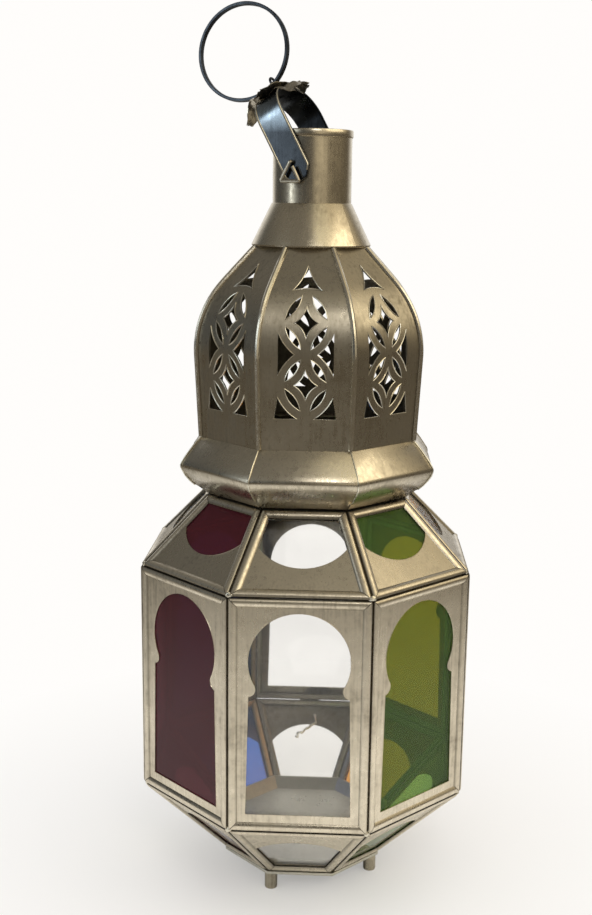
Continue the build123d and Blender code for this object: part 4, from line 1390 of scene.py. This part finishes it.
def pale_floor(stage):
    """Matt pale floor that keeps the shadow and fades into the backdrop further off."""
    finish = Finish("pale_floor")
    worn = blend(stage.floor, BLACK, 0.02)
    shade = finish.ramp(finish.grain(3, 3, 0.5), ((0.3, worn), (0.7, stage.floor)))
    finish.surface(Base_Color=shade, Roughness=0.7)
    off = finish.vectors("LENGTH", finish.place)["Value"]
    seen = finish.seen(finish.rays())
    mirrored = finish.ranged(off, 0.32, 0.7)
    plain = finish.ranged(off, 0.06, 0.32, 0.3, 1)
    step = finish.sums("MULTIPLY", finish.sums("SUBTRACT", plain, mirrored), seen)
    tone = finish.ramp(seen, ((0, stage.warm_side), (1, stage.backdrop)))
    glow = finish.add("ShaderNodeEmission", Color=tone, Strength=1.0)
    finish.shown(glow, finish.sums("ADD", mirrored, step))
    return finish.material


# Panels that metal mirrors: their direction, the cosines where they begin and are full, and their colour.
PANELS = (
    ((0.76, -0.22, 0.61), 0.66, 0.86, "gold_panel"),
    ((0.45, -0.89, 0.02), 0.9, 0.98, "front_panel"),
    ((-0.77, -0.54, 0.35), 0.955, 0.99, "cool_panel"),
    ((0.32, -0.44, 0.84), 0.95, 0.985, "top_panel"),
)
# Lamps: name, place, width, height, power and colour, all aimed at one point.
LAMPS = (
    ("key", (0.86, -0.3, 0.95), 1.0, 0.6, 3.2, (1.0, 0.9, 0.7)),
    ("fill", (-1.0, -0.6, 0.5), 0.22, 0.9, 1.6, (0.84, 0.92, 1.0)),
    ("front", (0.25, -1.1, 1.15), 0.4, 0.4, 2.6, (1.0, 0.97, 0.92)),
)
LAMP_AIM = Vector((0, 0, 0.24))
FLOOR_SPAN = 8
# Width of the camera's sensor in millimetres.
SENSOR = 36


def studio(stage):
    """Surroundings: pale to the eye and behind the lantern, dimmer at the sides that metal mirrors."""
    world = bpy.data.worlds.new("studio")
    world.use_nodes = True
    world.node_tree.nodes.clear()
    nodes = Nodes(world.node_tree)

    def smooth(value, low, high):
        return nodes.ranged(value, low, high, kind="SMOOTHSTEP")

    ways = nodes.add("ShaderNodeTexCoord").outputs["Generated"]
    way = nodes.add("ShaderNodeSeparateXYZ", Vector=ways).outputs
    room = nodes.mixed(stage.cool_side, stage.warm_side, smooth(way["X"], -0.7, 0.7))
    overhead = nodes.mixed(room, stage.ceiling, smooth(way["Z"], 0.2, 0.8))
    around = nodes.mixed(overhead, stage.backdrop, smooth(way["Y"], 0.55, 0.95))
    for aim, low, high, shade in PANELS:
        near = smooth(nodes.vectors("DOT_PRODUCT", ways, aim)["Value"], low, high)
        part = nodes.sums("MULTIPLY", near, smooth(way["Z"], aim[2] - 0.56, aim[2] - 0.3))
        around = nodes.mixed(around, getattr(stage, shade), part)
    path = nodes.rays()
    seen = nodes.seen(path)
    lit = nodes.mixed(stage.ambient, around, path["Is Glossy Ray"])
    light = nodes.add("ShaderNodeBackground", Color=nodes.mixed(lit, stage.backdrop, seen))
    nodes.add("ShaderNodeOutputWorld", Surface=light.outputs[0])
    return world


class LANTERN_OT_stage(Operator):
    """Lay the floor, hang the lights and place the camera"""

    bl_idname = "lantern.stage"
    bl_label = "Stage"

    def execute(self, context):
        scene = context.scene
        stage = scene.lantern_stage
        scene.view_settings.view_transform = "Standard"

        choose()
        bpy.ops.mesh.primitive_plane_add(size=FLOOR_SPAN, location=(0, 0, 0))
        floor = bpy.context.object
        floor.name = "floor"
        floor.data.materials.append(pale_floor(stage))
        scene.world = studio(stage)

        for name, place, width, height, power, shade in LAMPS:
            bpy.ops.object.light_add(type="AREA", location=place)
            lamp = bpy.context.object
            lamp.name = name
            lamp.data.shape = "RECTANGLE"
            lamp.data.size = width
            lamp.data.size_y = height
            lamp.data.energy = power
            lamp.data.color = shade
            lamp.rotation_euler = (Vector(place) - LAMP_AIM).to_track_quat("Z", "Y").to_euler()

        bpy.ops.object.camera_add()
        camera = bpy.context.object
        camera.name = "camera"
        turn = stage.camera_heading
        dip = stage.camera_dip
        ahead = Vector((sin(turn) * cos(dip), cos(turn) * cos(dip), -sin(dip)))
        right = Vector((cos(turn), -sin(turn), 0))
        up = right.cross(ahead)
        roll = stage.camera_roll
        right, up = right * cos(roll) + up * sin(roll), up * cos(roll) - right * sin(roll)
        axes = Matrix((right, up, -ahead)).transposed().to_4x4()
        camera.matrix_world = Matrix.Translation(Vector(stage.camera_place)) @ axes
        camera.data.sensor_fit = "AUTO"
        camera.data.sensor_width = SENSOR
        camera.data.lens = stage.camera_lens
        camera.data.clip_start = 0.01
        scene.camera = camera
        return {"FINISHED"}


class LANTERN_PT_panel(Panel):
    """The lantern's sizes, finishes and steps"""

    bl_idname = "LANTERN_PT_panel"
    bl_label = "Lantern"
    bl_space_type = "VIEW_3D"
    bl_region_type = "UI"
    bl_category = "Lantern"

    def draw(self, context):
        for step in STEPS:
            self.layout.operator(step.bl_idname)
        for kind, group in GROUPS.items():
            box = self.layout.box()
            for name in group.__annotations__:
                box.prop(getattr(context.scene, kind), name)


STEPS = (
    LANTERN_OT_stage,
    LANTERN_OT_channels,
    LANTERN_OT_masks,
    LANTERN_OT_glass,
    LANTERN_OT_base,
    LANTERN_OT_collar,
    LANTERN_OT_dome,
    LANTERN_OT_neck,
    LANTERN_OT_bail,
    LANTERN_OT_ring,
    LANTERN_OT_door_gear,
)
GROUPS = {"lantern_sizes": LanternSizes, "lantern_finish": LanternFinish, "lantern_stage": LanternStage}
CLASSES = (*GROUPS.values(), *STEPS, LANTERN_PT_panel)


def register():
    """Add the lantern's classes and properties."""
    for made in CLASSES:
        bpy.utils.register_class(made)
    for name, group in GROUPS.items():
        setattr(bpy.types.Scene, name, PointerProperty(type=group))


def unregister():
    """Take the lantern's classes and properties away."""
    for name in GROUPS:
        delattr(bpy.types.Scene, name)
    for made in reversed(CLASSES):
        bpy.utils.unregister_class(made)


def main():
    """Build the whole lantern in order."""
    register()
    bpy.ops.lantern.stage()
    bpy.ops.lantern.channels()
    bpy.ops.lantern.masks()
    bpy.ops.lantern.glass()
    bpy.ops.lantern.base()
    bpy.ops.lantern.collar()
    bpy.ops.lantern.dome()
    bpy.ops.lantern.neck()
    bpy.ops.lantern.bail()
    bpy.ops.lantern.ring()
    bpy.ops.lantern.door_gear()


if __name__ == "__main__":
    main()
